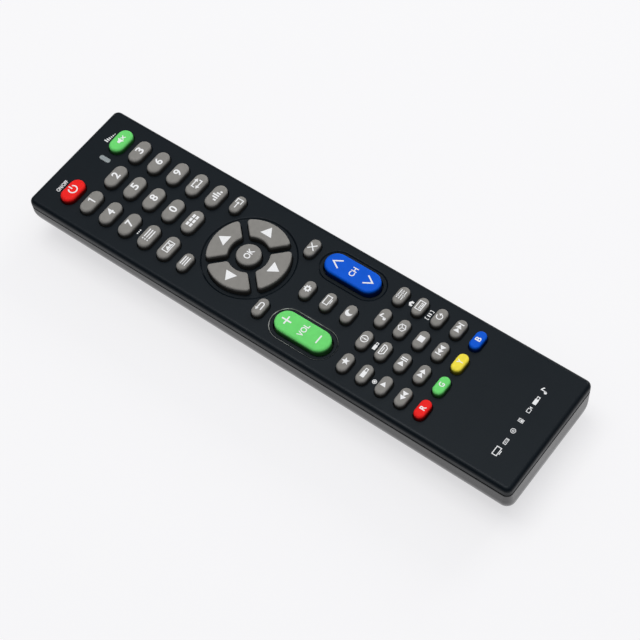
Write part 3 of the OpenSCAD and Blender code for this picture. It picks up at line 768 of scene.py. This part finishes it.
class FaceMark(Mark):
    """Signs that stand on the face only, named after what they show."""

    HOUSE = [[[(-1.1, -0.8), (-0.3, -0.8), (-0.3, -0.1), (0.3, -0.1), (0.3, -0.8), (1.1, -0.8), (1.1, 0.05),
               (1.45, 0.05), (0, 1.0), (-1.45, 0.05), (-1.1, 0.05)]]]
    RECORD = [ring(0.9, 0.26), dot(0, 0, 0.45)]
    PAUSE = [*[line([(s * 1.5, 0.8), (s * 2.0, 0.8), (s * 2.0, -0.8), (s * 1.5, -0.8)], 0.28) for s in (-1, 1)],
             block(-0.5, 0, 0.25, 0.75), block(0.5, 0, 0.25, 0.75)]
    DOTS = [dot(x, 0, 0.26) for x in (-0.8, 0, 0.8)]
    QUIET = [bar(x - 0.22, -0.8, x + 0.22, -0.8 + h)
             for x, h in ((-2.2, 1.6), (-1.4, 1.3), (-0.6, 1.0), (0.2, 0.7), (1.0, 0.45), (1.8, 0.3))]
    DISC = [ring(1.15, 0.26), ring(0.5, 0.24)]
    SPEAKER = [box_line(1.7, 2.4, 0.26), dot(0, 0.55, 0.26), dot(0, -0.35, 0.48)]
    TUNER = [box_line(3.0, 1.5, 0.26, -0.35), dot(0.85, -0.35, 0.26), bar(-1.0, -0.47, 0.2, -0.23)]
    CAMERA = [box_line(2.1, 1.7, 0.26), [[(1.15, 0), (1.9, 0.75), (1.9, -0.75)]]]


FULL_SIZE_MARKS = (*PowerMark, SmallMark.PLAY, SmallMark.PLAY_PAUSE, SmallMark.STOP, SmallMark.REWIND,
                   SmallMark.FORWARD, SmallMark.PREVIOUS, SmallMark.NEXT)


class InkPrint:
    """Marks printed on one level face, gathered into one mesh of thin prisms."""

    def __init__(self, face: float, high: float) -> None:
        """Starts with nothing printed on a face, up to a height."""
        self.levels = (face - INK_BED, high)
        self.loft = Loft()

    def shapes(self, glyph: Sequence[Shape], x: float, y: float, scale: float = 1.0, degrees: float = 0.0) -> None:
        """Prints shapes.

        Args:
            glyph: The shapes.
            x: Middle, sideways.
            y: Middle, lengthways.
            scale: Size factor.
            degrees: Turn about the middle.
        """
        for shape in glyph:
            rings = []
            for loop in shape:
                spot = moved(turned([(px * scale, py * scale) for px, py in loop], degrees), x, y)
                rings.append([self.loft.ring(spot, z) for z in self.levels])
            for pair in rings:
                self.loft.walls(pair)
            for level in zip(*rings):
                self.loft.cap(*level)

    def letters(self, text: str, x: float, y: float, size: Point, weight: float) -> None:
        """Prints plain characters, fitted to a box.

        Args:
            text: The characters.
            x: Middle, sideways.
            y: Middle, lengthways.
            size: Width and height of the box.
            weight: Thickening of the strokes, as a share of the type size.
        """
        curve = bpy.data.curves.new("type", "FONT")
        curve.body, curve.offset, curve.extrude, curve.resolution_u = text, weight, 0.1, 6
        mesh = baked(put("type", curve), "type")
        bpy.data.curves.remove(curve)
        (x0, x1), (y0, y1) = ((min(c), max(c)) for c in zip(*(v.co.xy for v in mesh.vertices)))
        for vertex in mesh.vertices:
            vertex.co = ((x + ((vertex.co.x - x0) / (x1 - x0) - 0.5) * size[0]) * MM,
                         (y + ((vertex.co.y - y0) / (y1 - y0) - 0.5) * size[1]) * MM,
                         self.levels[vertex.co.z > 0] * MM)
        self.loft.bm.from_mesh(mesh)
        bpy.data.meshes.remove(mesh)

    def mesh(self, name: str) -> Mesh:
        """Returns the printed marks as a mesh, with the tiny flaps that thickened type can leave drawn together."""
        bm = self.loft.bm
        bmesh.ops.remove_doubles(bm, verts=bm.verts, dist=0.0004 * MM)
        flaps = [vert for vert in bm.verts if not all(edge.is_manifold for edge in vert.link_edges)]
        bmesh.ops.remove_doubles(bm, verts=flaps, dist=0.025 * MM)
        return self.loft.mesh(name)


# Keys


class KeyKind(Enum):
    """Shapes of the keys: width, height and radius of the upper edge, or outer and inner radius of a sector."""

    POWER = (10.1, 5.8, 1.0)
    NUMBER = (9.7, 5.0, 0.8)
    SMALL = (7.3, 3.9, 0.75)
    ROCKER = (21.4, 8.5, 0.85)
    ROUND = (8.6, 8.6, 0.6)
    SECTOR = (14.4, 7.2, 0.5)


@dataclass
class Key:
    """A rubber key with its printed marks."""

    node: str
    kind: KeyKind
    finish: Finish = Finish.GREY
    mark: Mark | None = None
    text: str = ""
    turn: float = 0.0
    centre: Point = (0.0, 0.0)

    top: float = 21.36
    print_top: float = 21.4
    foot: float = 16.35
    rocker_foot: float = 16.12
    flange_t: float = 0.9
    flange_w: float = 0.45
    tip_room: float = 0.56
    spoke: float = 2.6
    soft_corner: float = 1.1
    print_shift: float = 0.12
    mark_scale: float = 0.86
    arrow_reach: float = 11.0
    arrow_size: Point = (3.6, 4.5)
    digit_size: Point = (2.05, 3.1)
    letter_size: Point = (1.5, 2.0)
    word_size: Point = (4.1, 2.4)
    text_weight: float = 0.022
    rocker_weight: float = 0.016

    def __post_init__(self) -> None:
        """Takes the key's place from its solid."""
        low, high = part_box(self.node)
        if self.kind is not KeyKind.SECTOR:
            self.centre = ((low.x + high.x) / 2 / MM, (low.y + high.y) / 2 / MM)

    def outline(self, room: float = 0.0) -> Outline:
        """Returns the key's outline about its middle, before it is turned, with room added to a pill's length."""
        w, h, _ = self.kind.value
        if self.kind is KeyKind.SECTOR:
            return sector(h, w, self.spoke, self.soft_corner)
        return disc(w / 2) if self.kind is KeyKind.ROUND else pill(w + room, h)

    def hole(self) -> Outline:
        """Returns the outline of the hole in the front cover, grown from the key's own."""
        return self.outline(self.tip_room if self.kind is KeyKind.ROCKER else 0.0)

    def place(self, loop: Loop) -> Loop:
        """Turns and moves a loop from the key's middle to its place."""
        return moved(turned(loop, self.turn), *self.centre)

    def build(self) -> None:
        """Builds the key and its print."""
        _, h, edge = self.kind.value
        high = self.foot + self.flange_t
        profile = [(self.flange_w, self.foot), (self.flange_w, high), (0.0, high)]
        loft = Loft()
        if self.kind is KeyKind.ROCKER:
            profile = [(0.0, self.rocker_foot), (0.0, high)]
            axle = pill(h + 2 * self.flange_w, self.flange_t)
            loft.close(loft.stack(axle, [(0.0, self.foot), (0.0, high)], lambda loop: self.place(turned(loop, 90))))
        loft.close(loft.stack(self.outline(), profile + round_edge(edge, self.top), self.place))
        slot = self.finish.value.name
        add_piece(loft.mesh(self.node + "_rubber"), self.node, self.finish, slot, [self.node])
        self.dress(slot)

    def dress(self, slot: str) -> None:
        """Prints the key's marks."""
        ink = InkPrint(self.top, self.print_top)
        x, y = self.centre[0] + self.print_shift, self.centre[1]
        if self.kind is KeyKind.SECTOR:
            at = turned([(0.0, self.arrow_reach)], self.turn)[0]
            ink.shapes([wedge(0, 0, *self.arrow_size)], x + at[0], y + at[1], degrees=self.turn + 90)
        elif self.kind is KeyKind.ROCKER:
            self.dress_rocker(ink, x, y)
        elif self.mark is not None:
            ink.shapes(self.mark.value, x, y, 1.0 if self.mark in FULL_SIZE_MARKS else self.mark_scale)
        elif self.text == "1":
            ink.shapes([[DIGIT_ONE]], x, y)
        else:
            size = self.digit_size if self.text.isdigit() else self.letter_size
            ink.letters(self.text, x, y, self.word_size if self.text == "OK" else size, self.text_weight)
        add_piece(ink.mesh(self.node + "_print"), self.node, Finish.INK, slot)

    def dress_rocker(self, ink: InkPrint, x: float, y: float) -> None:
        """Prints a rocker's word in the middle and its two signs at the ends."""
        if self.text == "VOL":
            ink.letters(self.text, x, y - 0.2, (5.0, 2.2), self.rocker_weight)
            plus = [block(0, 0, 1.65, 0.27), bar(-0.27, 0.27, 0.27, 1.85), bar(-0.27, -1.85, 0.27, -0.27)]
            ink.shapes(plus, x, y + 6.65)
            ink.shapes([block(0, 0, 1.7, 0.25)], x, y - 6.35)
        else:
            ink.letters(self.text, x, y - 0.1, (3.6, 2.1), self.rocker_weight)
            for way in (1, -1):
                chevron = [(-1.75, -1.45 * way), (0, 1.4 * way), (1.75, -1.45 * way)]
                ink.shapes([line(chevron, 0.5)], x, y + 6.55 * way)


@dataclass
class Keypad:
    """All the keys, and the mat that they stand on."""

    pad_centre: Point = (0.0, 20.7)
    keys: list[Key] = field(default_factory=list)

    def __post_init__(self) -> None:
        """Lists the keys from the emitter end down."""
        def add(name: str, kind: KeyKind, *values: object, **named: object) -> None:
            """Adds a key of the given name."""
            self.keys.append(Key("key_" + name.lower(), kind, *values, **named))

        for mark, finish in zip(PowerMark, (Finish.RED, Finish.GREEN)):
            add(mark.name, KeyKind.POWER, finish, mark)
        for number in range(10):
            add(str(number), KeyKind.NUMBER, text=str(number))
        for marks, kind in ((WideMark, KeyKind.NUMBER), (SmallMark, KeyKind.SMALL)):
            for mark in marks:
                add(mark.name, kind, mark=mark)
        for finish in (Finish.RED, Finish.GREEN, Finish.YELLOW, Finish.BLUE):
            add(finish.name, KeyKind.SMALL, finish, text=finish.name[0])
        for i, name in enumerate(("up", "left", "down", "right")):
            add(name, KeyKind.SECTOR, turn=90 * i, centre=self.pad_centre)
        add("ok", KeyKind.ROUND, text="OK")
        add("volume", KeyKind.ROCKER, Finish.GREEN, text="VOL", turn=90)
        add("channel", KeyKind.ROCKER, Finish.BLUE, text="CH", turn=90)

    def build(self) -> None:
        """Builds every key and dresses the mat."""
        for key in self.keys:
            key.build()
        repaint("keypad_mat", Finish.MAT)


# Casing


@dataclass
class Belly:
    """The smooth outer form of the rear cover, rounder at its corners than a plain box."""

    near_turn: float = 10.1
    far_turn: float = 13.2
    near_end: float = 8.5
    seam: float = 15.6
    near_groove: float = 0.7
    far_groove: float = 0.3
    side_radius: float = 10.0
    end_radius: float = 18.0
    start: float = 3.0
    side_slope: float = 37.0
    near_slope: float = 30.0
    far_slope: float = 45.0
    inside: float = 0.04
    corner: float = 2.35
    near_growth: float = 0.7
    far_growth: float = 4.6
    growth_start: float = 14.8
    growth_depth: float = 6.0
    side_points: int = 10
    roof: float = 17.0
    level_step: float = 0.5
    groove_step: float = 0.1
    groove_levels: int = 8
    soft_foot: tuple[tuple[float, float], ...] = ((-0.25, 1.3), (-0.03, 0.56), (0.25, 0.16), (0.6, 0.0))

    def inset(self, z: float, turn: float, slope: float, radius: float) -> float:
        """Returns how far a side that turns under at a height has come in at height z.

        Args:
            z: The height asked for.
            turn: Height where the side starts to turn.
            slope: Its last slope from upright, in degrees.
            radius: Radius of the turn.

        Returns:
            The distance inwards.
        """
        if z >= turn:
            return self.inside
        first, last = math.radians(self.start), math.radians(slope)
        depth = min(turn - z, radius * (math.sin(last) - math.sin(first)))
        angle = math.asin(math.sin(first) + depth / radius)
        bend = radius * (math.cos(first) - math.cos(angle))
        return self.inside + bend + (turn - z - depth) * math.tan(last)

    def groove(self, z: float, along: float) -> float:
        """Returns how far the bevel under the seam has come in at height z, with along from 0 near to 1 far."""
        return max(0.0, z - self.seam + self.near_groove + (self.far_groove - self.near_groove) * along)

    def outline(self, z: float, width: float, length: float, extra: float) -> Loop:
        """Returns the level outline at height z, moved in by an extra distance."""
        near_in = self.inset(z, self.near_end, self.near_slope, self.end_radius) + self.groove(z, 0.0)
        far_in = self.inset(z, self.far_turn, self.far_slope, self.end_radius) + self.groove(z, 1.0)
        r_near = self.corner + self.near_growth * min(1.0, max(0.0, (self.growth_start - z) / self.growth_depth))
        r_far = self.corner + self.far_growth * max(0.0, 1 - max(z, 0.0) / self.far_turn)

        def half(y: float) -> float:
            """Returns half the width at y."""
            along = y / length + 0.5
            turn = self.near_turn + (self.far_turn - self.near_turn) * along
            return width / 2 - self.inset(z, turn, self.side_slope, self.side_radius) - extra - self.groove(z, along)

        y0, y1 = near_in + extra - length / 2 + r_near, length / 2 - far_in - extra - r_far
        side = [y0 + (y1 - y0) * i / self.side_points for i in range(1, self.side_points)]
        right = (arc(half(y0) - r_near, y0, r_near, 270, 360) + [(half(y), y) for y in side]
                 + arc(half(y1) - r_far, y1, r_far, 0, 90))
        return right + [(-x, y) for x, y in reversed(right)]

    def mould(self, width: float, length: float) -> Thing:
        """Builds the form, for a casing's width and length, as a closed shape that covers are trimmed to."""
        step = self.level_step
        heights = [1.0 + step * i for i in range(int(self.roof / step) - 1)]
        heights += [self.seam - self.groove_step * i for i in range(self.groove_levels)]
        levels = sorted([*self.soft_foot, *((z, 0.0) for z in heights)])
        loft = Loft()
        rings = [loft.ring(self.outline(z, width, length, extra), z) for z, extra in levels]
        loft.walls(rings)
        loft.close(rings)
        return put("belly_mould", loft.mesh("belly_mould"))


@dataclass
class Casing:
    """The two covers, the face print and the battery door."""

    width: float = 48.0
    length: float = 198.0
    corner: float = 2.3
    edge: float = 1.6
    edge_steps: int = 12
    seam: float = 15.6
    seam_side: tuple[tuple[float, float], ...] = ((-0.6, 0.12), (-0.3, 0.16), (0.0, 0.42), (0.0, 0.54))
    plate: float = 17.4
    top: float = 19.2
    lip_out: float = 2.15
    lip_in: float = 3.35
    lip_foot: float = 14.8
    lip_corner: float = 0.6
    recess_depth: float = 0.5
    recess_bevel: float = 0.4
    pad_recess: float = 16.1
    rocker_recess: float = 5.9
    rocker_straight: float = 12.9
    wear: tuple[tuple[float, float], ...] = ((0.17, -0.38), (0.17, -0.27), (0.36, -0.07), (0.4, -0.18))
    rim: float = 0.16
    gap: float = 0.25
    lens_centre: Point = (4.5, 88.0)
    lens_size: Point = (4.6, 1.9)
    lens_top: float = 19.35
    lens_edge: float = 0.3
    lens_rim: float = 0.08
    lens_gap: float = 0.05
    print_t: float = 0.03
    word_centre: Point = (-12.8, 92.7)
    word_size: Point = (5.2, 1.5)
    word_weight: float = 0.02
    row_centre: Point = (-0.7, -87.9)
    row_pitch: float = 4.4
    row_scale: float = 0.78
    belly: Belly = field(default_factory=Belly)

    def build(self, keypad: Keypad) -> None:
        """Builds the covers, the lens and the face print round the keys."""
        self.build_front(keypad)
        self.build_wear(keypad)
        self.build_lens()
        self.dress_face()
        mould = self.belly.mould(self.width, self.length)
        for node, name, body in (("rear_cover", "rear_shell", "casing"),
                                 ("battery_cover", "battery_door", "battery_cover")):
            add_piece(smooth_copy(node, name, mould), body, Finish.GREY_SHELL, "grey_shell", [node])
        shape = mould.data
        bpy.data.objects.remove(mould)
        bpy.data.meshes.remove(shape)

    def build_front(self, keypad: Keypad) -> None:
        """Builds the front cover with its recesses and key holes."""
        loft = Loft()
        side = [(d, self.seam + z) for d, z in self.seam_side]
        shell = loft.stack(rounded_box(self.width, self.length, self.corner),
                           side + round_edge(self.edge, self.top, self.edge_steps))
        inner = [loft.ring(rounded_box(self.width - 2 * d, self.length - 2 * d, self.lip_corner)(0.0), z)
                 for d, z in ((self.lip_out, self.seam), (self.lip_out, self.lip_foot),
                              (self.lip_in, self.lip_foot), (self.lip_in, self.plate))]
        loft.walls([shell[0]] + inner)
        face, under = [shell[-1]], [inner[-1]]
        floor_z, bevel = self.top - self.recess_depth, self.recess_bevel
        slope = [(bevel + 0.3, self.top), (bevel + 0.12, self.top), (bevel + 0.03, self.top - 0.04),
                 (0.06, floor_z + 0.05), (-0.02, floor_z), (-0.16, floor_z)]
        floors = {}
        for name, (outline, place) in self.recesses(keypad).items():
            rings = loft.stack(outline, slope, place)
            face.append(rings[0])
            floors[name] = [rings[-1]]
        holes = []
        for key in keypad.keys:
            home = {KeyKind.SECTOR: "pad", KeyKind.ROUND: "pad", KeyKind.ROCKER: key.node}.get(key.kind)
            rim = rim_edge(self.rim, floor_z if home else self.top, self.gap, self.plate)
            holes.append((floors.get(home, face), key.hole(), rim, key.place))
        lens_rim = rim_edge(self.lens_rim, self.top, self.lens_gap, self.plate)
        holes.append((face, pill(*self.lens_size), lens_rim, self.lens_place))
        for level, outline, rim, place in holes:
            rings = loft.stack(outline, rim, place)
            level.append(rings[0])
            under.append(rings[-1])
        for group in (face, under, *floors.values()):
            loft.cap(*group)
        add_piece(loft.mesh("front_shell"), "casing", Finish.BLACK, "black_shell", ["front_cover"])

    def recesses(self, keypad: Keypad) -> dict[str, tuple[Outline, Placing]]:
        """Returns the outline and the place of each recess in the face."""
        found = {"pad": (disc(self.pad_recess), lambda loop: moved(loop, *keypad.pad_centre))}
        span = self.rocker_straight + 2 * self.rocker_recess
        for key in keypad.keys:
            if key.kind is KeyKind.ROCKER:
                found[key.node] = (pill(span, 2 * self.rocker_recess), key.place)
        return found

    def build_wear(self, keypad: Keypad) -> None:
        """Lays the patchy pale edge round the volume key's recess."""
        loft = Loft()
        outline, place = self.recesses(keypad)["key_volume"]
        rings = loft.stack(outline, [(d, self.top + z) for d, z in self.wear], place)
        loft.walls([rings[-1], rings[0]])
        add_piece(loft.mesh("rubbed_rim"), "casing", Finish.RUBBED, "black_shell")

    def lens_place(self, loop: Loop) -> Loop:
        """Turns and moves a loop to the lens."""
        return moved(turned(loop, 90), *self.lens_centre)

    def build_lens(self) -> None:
        """Builds the indicator's light pipe."""
        loft = Loft()
        profile = [(0.0, self.plate)] + round_edge(self.lens_edge, self.lens_top)
        loft.close(loft.stack(pill(*self.lens_size), profile, self.lens_place))
        add_piece(loft.mesh("indicator_pipe"), "casing", Finish.LENS, "lens", ["indicator_lens"])

    def dress_face(self) -> None:
        """Prints small plain signs on the face."""
        ink = InkPrint(self.top, self.top + self.print_t)
        stick = SmallMark.MEDIA_PORT
        for mark, x, y, scale in ((FaceMark.QUIET, 13.0, 92.7, 1.0), (FaceMark.DOTS, -12.7, 58.2, 1.0),
                                  (stick, -4.2, -34.4, 0.7), (FaceMark.HOUSE, 15.6, -34.4, 0.85),
                                  (FaceMark.RECORD, -15.2, -41.9, 0.9), (FaceMark.PAUSE, 15.3, -41.9, 0.85)):
            ink.shapes(mark.value, x, y, scale)
        ink.letters("ON/OFF", *self.word_centre, self.word_size, self.word_weight)
        row = (SmallMark.DISPLAY, FaceMark.TUNER, FaceMark.DISC, FaceMark.SPEAKER, FaceMark.CAMERA, stick,
               SmallMark.AUDIO)
        x, y = self.row_centre
        for i, mark in enumerate(row):
            ink.shapes(mark.value, x + (i - len(row) // 2) * self.row_pitch, y, self.row_scale)
        add_piece(ink.mesh("face_print"), "casing", Finish.INK, "black_shell")


# Inside


@dataclass
class PowerBay:
    """The cells, their contacts, the board and the emitter."""

    cell_x: float = 5.4
    cell_z: float = 7.45
    cell_d: float = 10.5
    cell_l: float = 44.5
    cell_steps: int = 64
    nub_d: float = 3.8
    nub_l: float = 0.9
    near: float = 0.0
    far: float = 0.0
    plate_t: float = 0.4
    plate_w: float = 8.0
    plate_corner: float = 0.9
    plate_bevel: float = 0.06
    tab_w: float = 1.6
    tab_corner: float = 0.2
    tab_lap: float = 0.4
    tab_inset: float = 0.05
    board: float = 14.0
    coil_foot: float = 3.15
    coil_tip: float = 1.95
    coil_rise: float = 3.9
    coil_room: float = 4.6
    wire: float = 0.7
    turns: float = 3.0
    gap: float = 0.15

    def __post_init__(self) -> None:
        """Takes both ends of the compartment from the contacts' solid."""
        low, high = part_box("battery_contacts")
        self.near, self.far = low.y / MM, high.y / MM

    def build(self) -> None:
        """Builds the cells and contacts and dresses the board and the emitter."""
        self.build_cells()
        self.build_contacts()
        add_piece(smooth_copy("ir_led", "emitter_dome"), "casing", Finish.EMITTER, "emitter", ["ir_led"])
        repaint("circuit_board", Finish.BOARD)

    def from_end(self, side: int, depth: float) -> float:
        """Returns the place at a depth into the compartment, from its near end for side -1 or its far end for 1."""
        return self.near + depth if side < 0 else self.far - depth

    def build_cells(self) -> None:
        """Builds the two cells, each with its sleeve, crimped ends and raised pole."""
        r, nub, body = self.cell_d / 2, self.nub_d / 2, self.cell_l - self.nub_l
        foot = [(0.0, 0.15), (3.6, 0.15), (3.75, 0.0), (r - 0.75, 0.0), (r - 0.22, 0.12), (r - 0.05, 0.45),
                (r - 0.05, 0.62)]
        sleeve = [(r, 0.7), (r, body - 0.9), (r - 0.05, body - 0.82)]
        head = [(r - 0.05, body - 0.5), (r - 0.3, body - 0.12), (r - 0.9, body), (r - 1.6, body),
                (r - 1.8, body - 0.12), (nub + 0.25, body - 0.12), (nub, body + 0.1), (nub, self.cell_l - 0.25),
                (nub - 0.25, self.cell_l), (0.0, self.cell_l)]
        film = range(len(foot), len(foot) + len(sleeve) - 1)
        bm = bmesh.new()
        n = self.cell_steps
        for side in (-1, 1):
            start = self.from_end(side, self.plate_t + self.coil_room + 2 * self.gap)
            rows = []
            for radius, along in foot + sleeve + head:
                points = circle(side * self.cell_x, self.cell_z, radius, n if radius else 1)
                rows.append([bm.verts.new((x * MM, (start - side * along) * MM, z * MM)) for x, z in points])
            for k, (low, high) in enumerate(zip(rows, rows[1:])):
                for i in range(n):
                    ways = ((low, i), (low, i + 1), (high, i + 1), (high, i))
                    corners = dict.fromkeys(row[j % len(row)] for row, j in ways)
                    bm.faces.new(list(corners)).material_index = int(k in film)
        bmesh.ops.recalc_face_normals(bm, faces=bm.faces)
        mesh = finished(bm, "cells")
        for finish in (Finish.CELL, Finish.SLEEVE):
            mesh.materials.append(finish.material())
        add_piece(mesh, "casing", Finish.CELL, "cell", ["batteries"])

    def build_contacts(self) -> None:
        """Builds the contact plates and the two coil springs, lying flat and then set upright."""
        loft = Loft()
        edge, half = self.plate_bevel, self.plate_w / 2
        back = self.far - self.plate_t
        for x, w, y in ((0.0, 2 * self.cell_x + self.plate_w, self.near), (-self.cell_x, self.plate_w, back),
                        (self.cell_x, self.plate_w, back)):
            profile = [(-edge, y), (0.0, y + edge), (0.0, y + self.plate_t - edge), (-edge, y + self.plate_t)]
            plate = rounded_box(w, self.plate_w, self.plate_corner)
            loft.close(loft.stack(plate, profile, lambda loop: moved(loop, x, self.cell_z)))
        low, high = self.cell_z + half - self.tab_lap, self.board
        tab = rounded_box(self.tab_w, high - low, self.tab_corner)
        for x in (-self.cell_x, self.cell_x):
            profile = [(0.0, back + self.tab_inset), (0.0, self.far - self.tab_inset)]
            loft.close(loft.stack(tab, profile, lambda loop: moved(loop, x, (high + low) / 2)))
        loft.bm.transform(Matrix(((1, 0, 0, 0), (0, 0, 1, 0), (0, 1, 0, 0), (0, 0, 0, 1))))
        for mesh in (loft.mesh("contact_plates"), self.springs()):
            add_piece(mesh, "casing", Finish.CONTACT, "plated_contact", ["battery_contacts"])

    def springs(self) -> Mesh:
        """Builds the two tapering coil springs along their paths.

        Returns:
            The springs' mesh.
        """
        tree = bpy.data.node_groups.new("coil_springs", "GeometryNodeTree")
        values = {"Turns": self.turns, "Foot Radius": self.coil_foot * MM, "Tip Radius": self.coil_tip * MM,
                  "Rise": self.coil_rise * MM, "Wire Radius": self.wire / 2 * MM, "Finish": Finish.CONTACT.material()}
        ports = {name: tree.interface.new_socket(
            name, in_out="INPUT", socket_type="NodeSocketMaterial" if name == "Finish" else "NodeSocketFloat")
            for name in values}
        tree.interface.new_socket("Geometry", in_out="OUTPUT", socket_type="NodeSocketGeometry")
        sheet = NodeSheet(tree)
        given = sheet.add("NodeGroupInput").outputs
        coil = sheet.add("GeometryNodeCurveSpiral", Resolution=40, Rotations=given["Turns"], Height=given["Rise"],
                         Start_Radius=given["Foot Radius"], End_Radius=given["Tip Radius"])
        wire = sheet.add("GeometryNodeCurvePrimitiveCircle", Resolution=12, Radius=given["Wire Radius"])
        tube = sheet.add("GeometryNodeCurveToMesh", Curve=coil.outputs["Curve"], Profile_Curve=wire.outputs["Curve"],
                         Fill_Caps=True)
        work = sheet.add("GeometryNodeJoinGeometry")
        for side in (-1, 1):
            y = self.from_end(side, self.gap + self.plate_t + self.wire / 2)
            spring = sheet.add("GeometryNodeTransform", Geometry=tube.outputs["Mesh"],
                               Translation=(side * self.cell_x * MM, y * MM, self.cell_z * MM),
                               Rotation=(math.radians(90 * side), 0, 0))
            sheet.feed(work.inputs["Geometry"], spring.outputs["Geometry"])
        for kind in ("SetShadeSmooth", "RealizeInstances", "SetMaterial"):
            work = sheet.add("GeometryNode" + kind, Geometry=work.outputs["Geometry"])
        sheet.feed(work.inputs["Material"], given["Finish"])
        sheet.add("NodeGroupOutput", Geometry=work.outputs["Geometry"])
        holder = put("coil_holder", bpy.data.meshes.new("coil_holder"))
        modifier = holder.modifiers.new("coil_springs", "NODES")
        modifier.node_group = tree
        for name, port in ports.items():
            modifier[port.identifier] = values[name]
        return baked(holder, "contact_springs")


# Stage


@dataclass
class Stage:
    """Camera, lamps and floor."""

    eye: tuple[float, float, float] = (-252.02, -238.855, 537.121)
    azimuth: float = -47.479
    elevation: float = 57.238
    roll: float = -6.835
    focal: float = 106.43
    sensor: float = 36.0
    floor_half: float = 3.0
    floor_z: float = -0.0001
    floor_colour: Colour = (0.93, 0.93, 0.94)
    floor_glow: float = 0.66
    glow_colour: Colour = (0.975, 0.967, 0.982)
    lamp_colour: Colour = (1.0, 0.98, 0.945)
    room_colour: Colour = (0.92, 0.955, 1.0)
    room_low: float = 0.05
    room_high: float = 0.98
    room_power: float = 2.0
    room_from: tuple[float, float, float] = (0.15, 0.0, 0.989)

    def build(self) -> None:
        """Builds the stage."""
        self.build_camera()
        self.build_floor()
        self.build_light()

    def build_camera(self) -> None:
        """Puts the camera at the photograph's point of view."""
        az, el, roll = (math.radians(a) for a in (self.azimuth, self.elevation, self.roll))
        back = Vector((math.sin(az) * math.cos(el), -math.cos(az) * math.cos(el), math.sin(el)))
        right = Vector((math.cos(az), math.sin(az), 0))
        up = back.cross(right)
        side = right * math.cos(roll) + up * math.sin(roll)
        head = up * math.cos(roll) - right * math.sin(roll)
        data = bpy.data.cameras.new("camera")
        data.sensor_width, data.sensor_fit, data.lens = self.sensor, "HORIZONTAL", self.focal
        data.clip_start, data.clip_end = 0.01, 20
        camera = put("camera", data)
        turn = Matrix((side, head, back)).transposed().to_4x4()
        camera.matrix_world = Matrix.Translation(Vector(self.eye) * MM) @ turn
        bpy.context.scene.camera = camera

    def build_floor(self) -> None:
        """Lays a pale matte floor, which is clear from below."""
        sheet = Surface("pale_floor")
        sheet.paint(Base_Color=sheet.shades(sheet.noise(60.0, 3.0), self.floor_colour, 0.99), Roughness=0.7,
                    Specular_IOR_Level=0.2)
        path = sheet.add("ShaderNodeLightPath").outputs
        seen = path["Is Camera Ray"]
        for name in ("Is Glossy Ray", "Is Transmission Ray"):
            seen = sheet.math("MAXIMUM", seen, path[name])
        glow = sheet.add("ShaderNodeEmission", Color=(*self.glow_colour, 1.0))
        lit = sheet.mixed(sheet.math("MULTIPLY", seen, self.floor_glow), sheet.shader, glow)
        below = sheet.add("ShaderNodeNewGeometry").outputs["Backfacing"]
        sided = sheet.mixed(below, lit, sheet.add("ShaderNodeBsdfTransparent"))
        sheet.feed(sheet.output.inputs["Surface"], sided.outputs[0])
        mesh = bpy.data.meshes.new("floor")
        corners = block(0, 0, self.floor_half, self.floor_half)[0]
        mesh.from_pydata([(x, y, self.floor_z) for x, y in corners], [], [(0, 1, 2, 3)])
        mesh.materials.append(sheet.material)
        floor = put("floor", mesh)
        floor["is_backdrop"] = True

    def build_light(self) -> None:
        """Hangs the soft lamps and sets the room's own light."""
        self.lamp("overhead", (0.05, 0.3, 1.5), 0.8, 9.0)
        self.lamp("key_side", (1.4, -0.1, 0.75), 0.6, 6.0)
        world = bpy.data.worlds.new("room")
        world.use_nodes = True
        sheet = NodeSheet(world.node_tree)
        towards = sheet.add("ShaderNodeVectorMath", {"operation": "DOT_PRODUCT"})
        sheet.feed(towards.inputs[0], sheet.add("ShaderNodeTexCoord").outputs["Generated"])
        sheet.feed(towards.inputs[1], self.room_from)
        value = towards.outputs["Value"]
        for operation, number in (("MAXIMUM", 0.0), ("POWER", self.room_power),
                                  ("MULTIPLY", self.room_high - self.room_low), ("ADD", self.room_low)):
            value = sheet.math(operation, value, number)
        ground = world.node_tree.nodes["Background"]
        sheet.feed(ground.inputs["Color"], (*self.room_colour, 1.0))
        sheet.feed(ground.inputs["Strength"], value)
        bpy.context.scene.world = world
        bpy.context.scene.view_settings.view_transform = "Standard"

    def lamp(self, name: str, place: Sequence[float], size: float, power: float) -> None:
        """Hangs a square soft lamp, in metres and watts, that faces the part."""
        data = bpy.data.lights.new(name, "AREA")
        data.shape, data.size, data.energy, data.color = "SQUARE", size, power, self.lamp_colour
        lamp = put(name, data)
        lamp.location = place
        lamp.rotation_euler = (-Vector(place)).to_track_quat("-Z", "Y").to_euler()


def main() -> None:
    """Builds the remote control and its stage and works out both boxes."""
    logging.basicConfig(level=logging.INFO, format="%(message)s")
    Stage().build()
    keypad = Keypad()
    Casing().build(keypad)
    keypad.build()
    PowerBay().build()
    boxes = {"cad": CAD_BOX, "visual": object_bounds()}
    plain = {key: [list(corner) for corner in value] for key, value in boxes.items()}


if __name__ == "__main__":
    main()
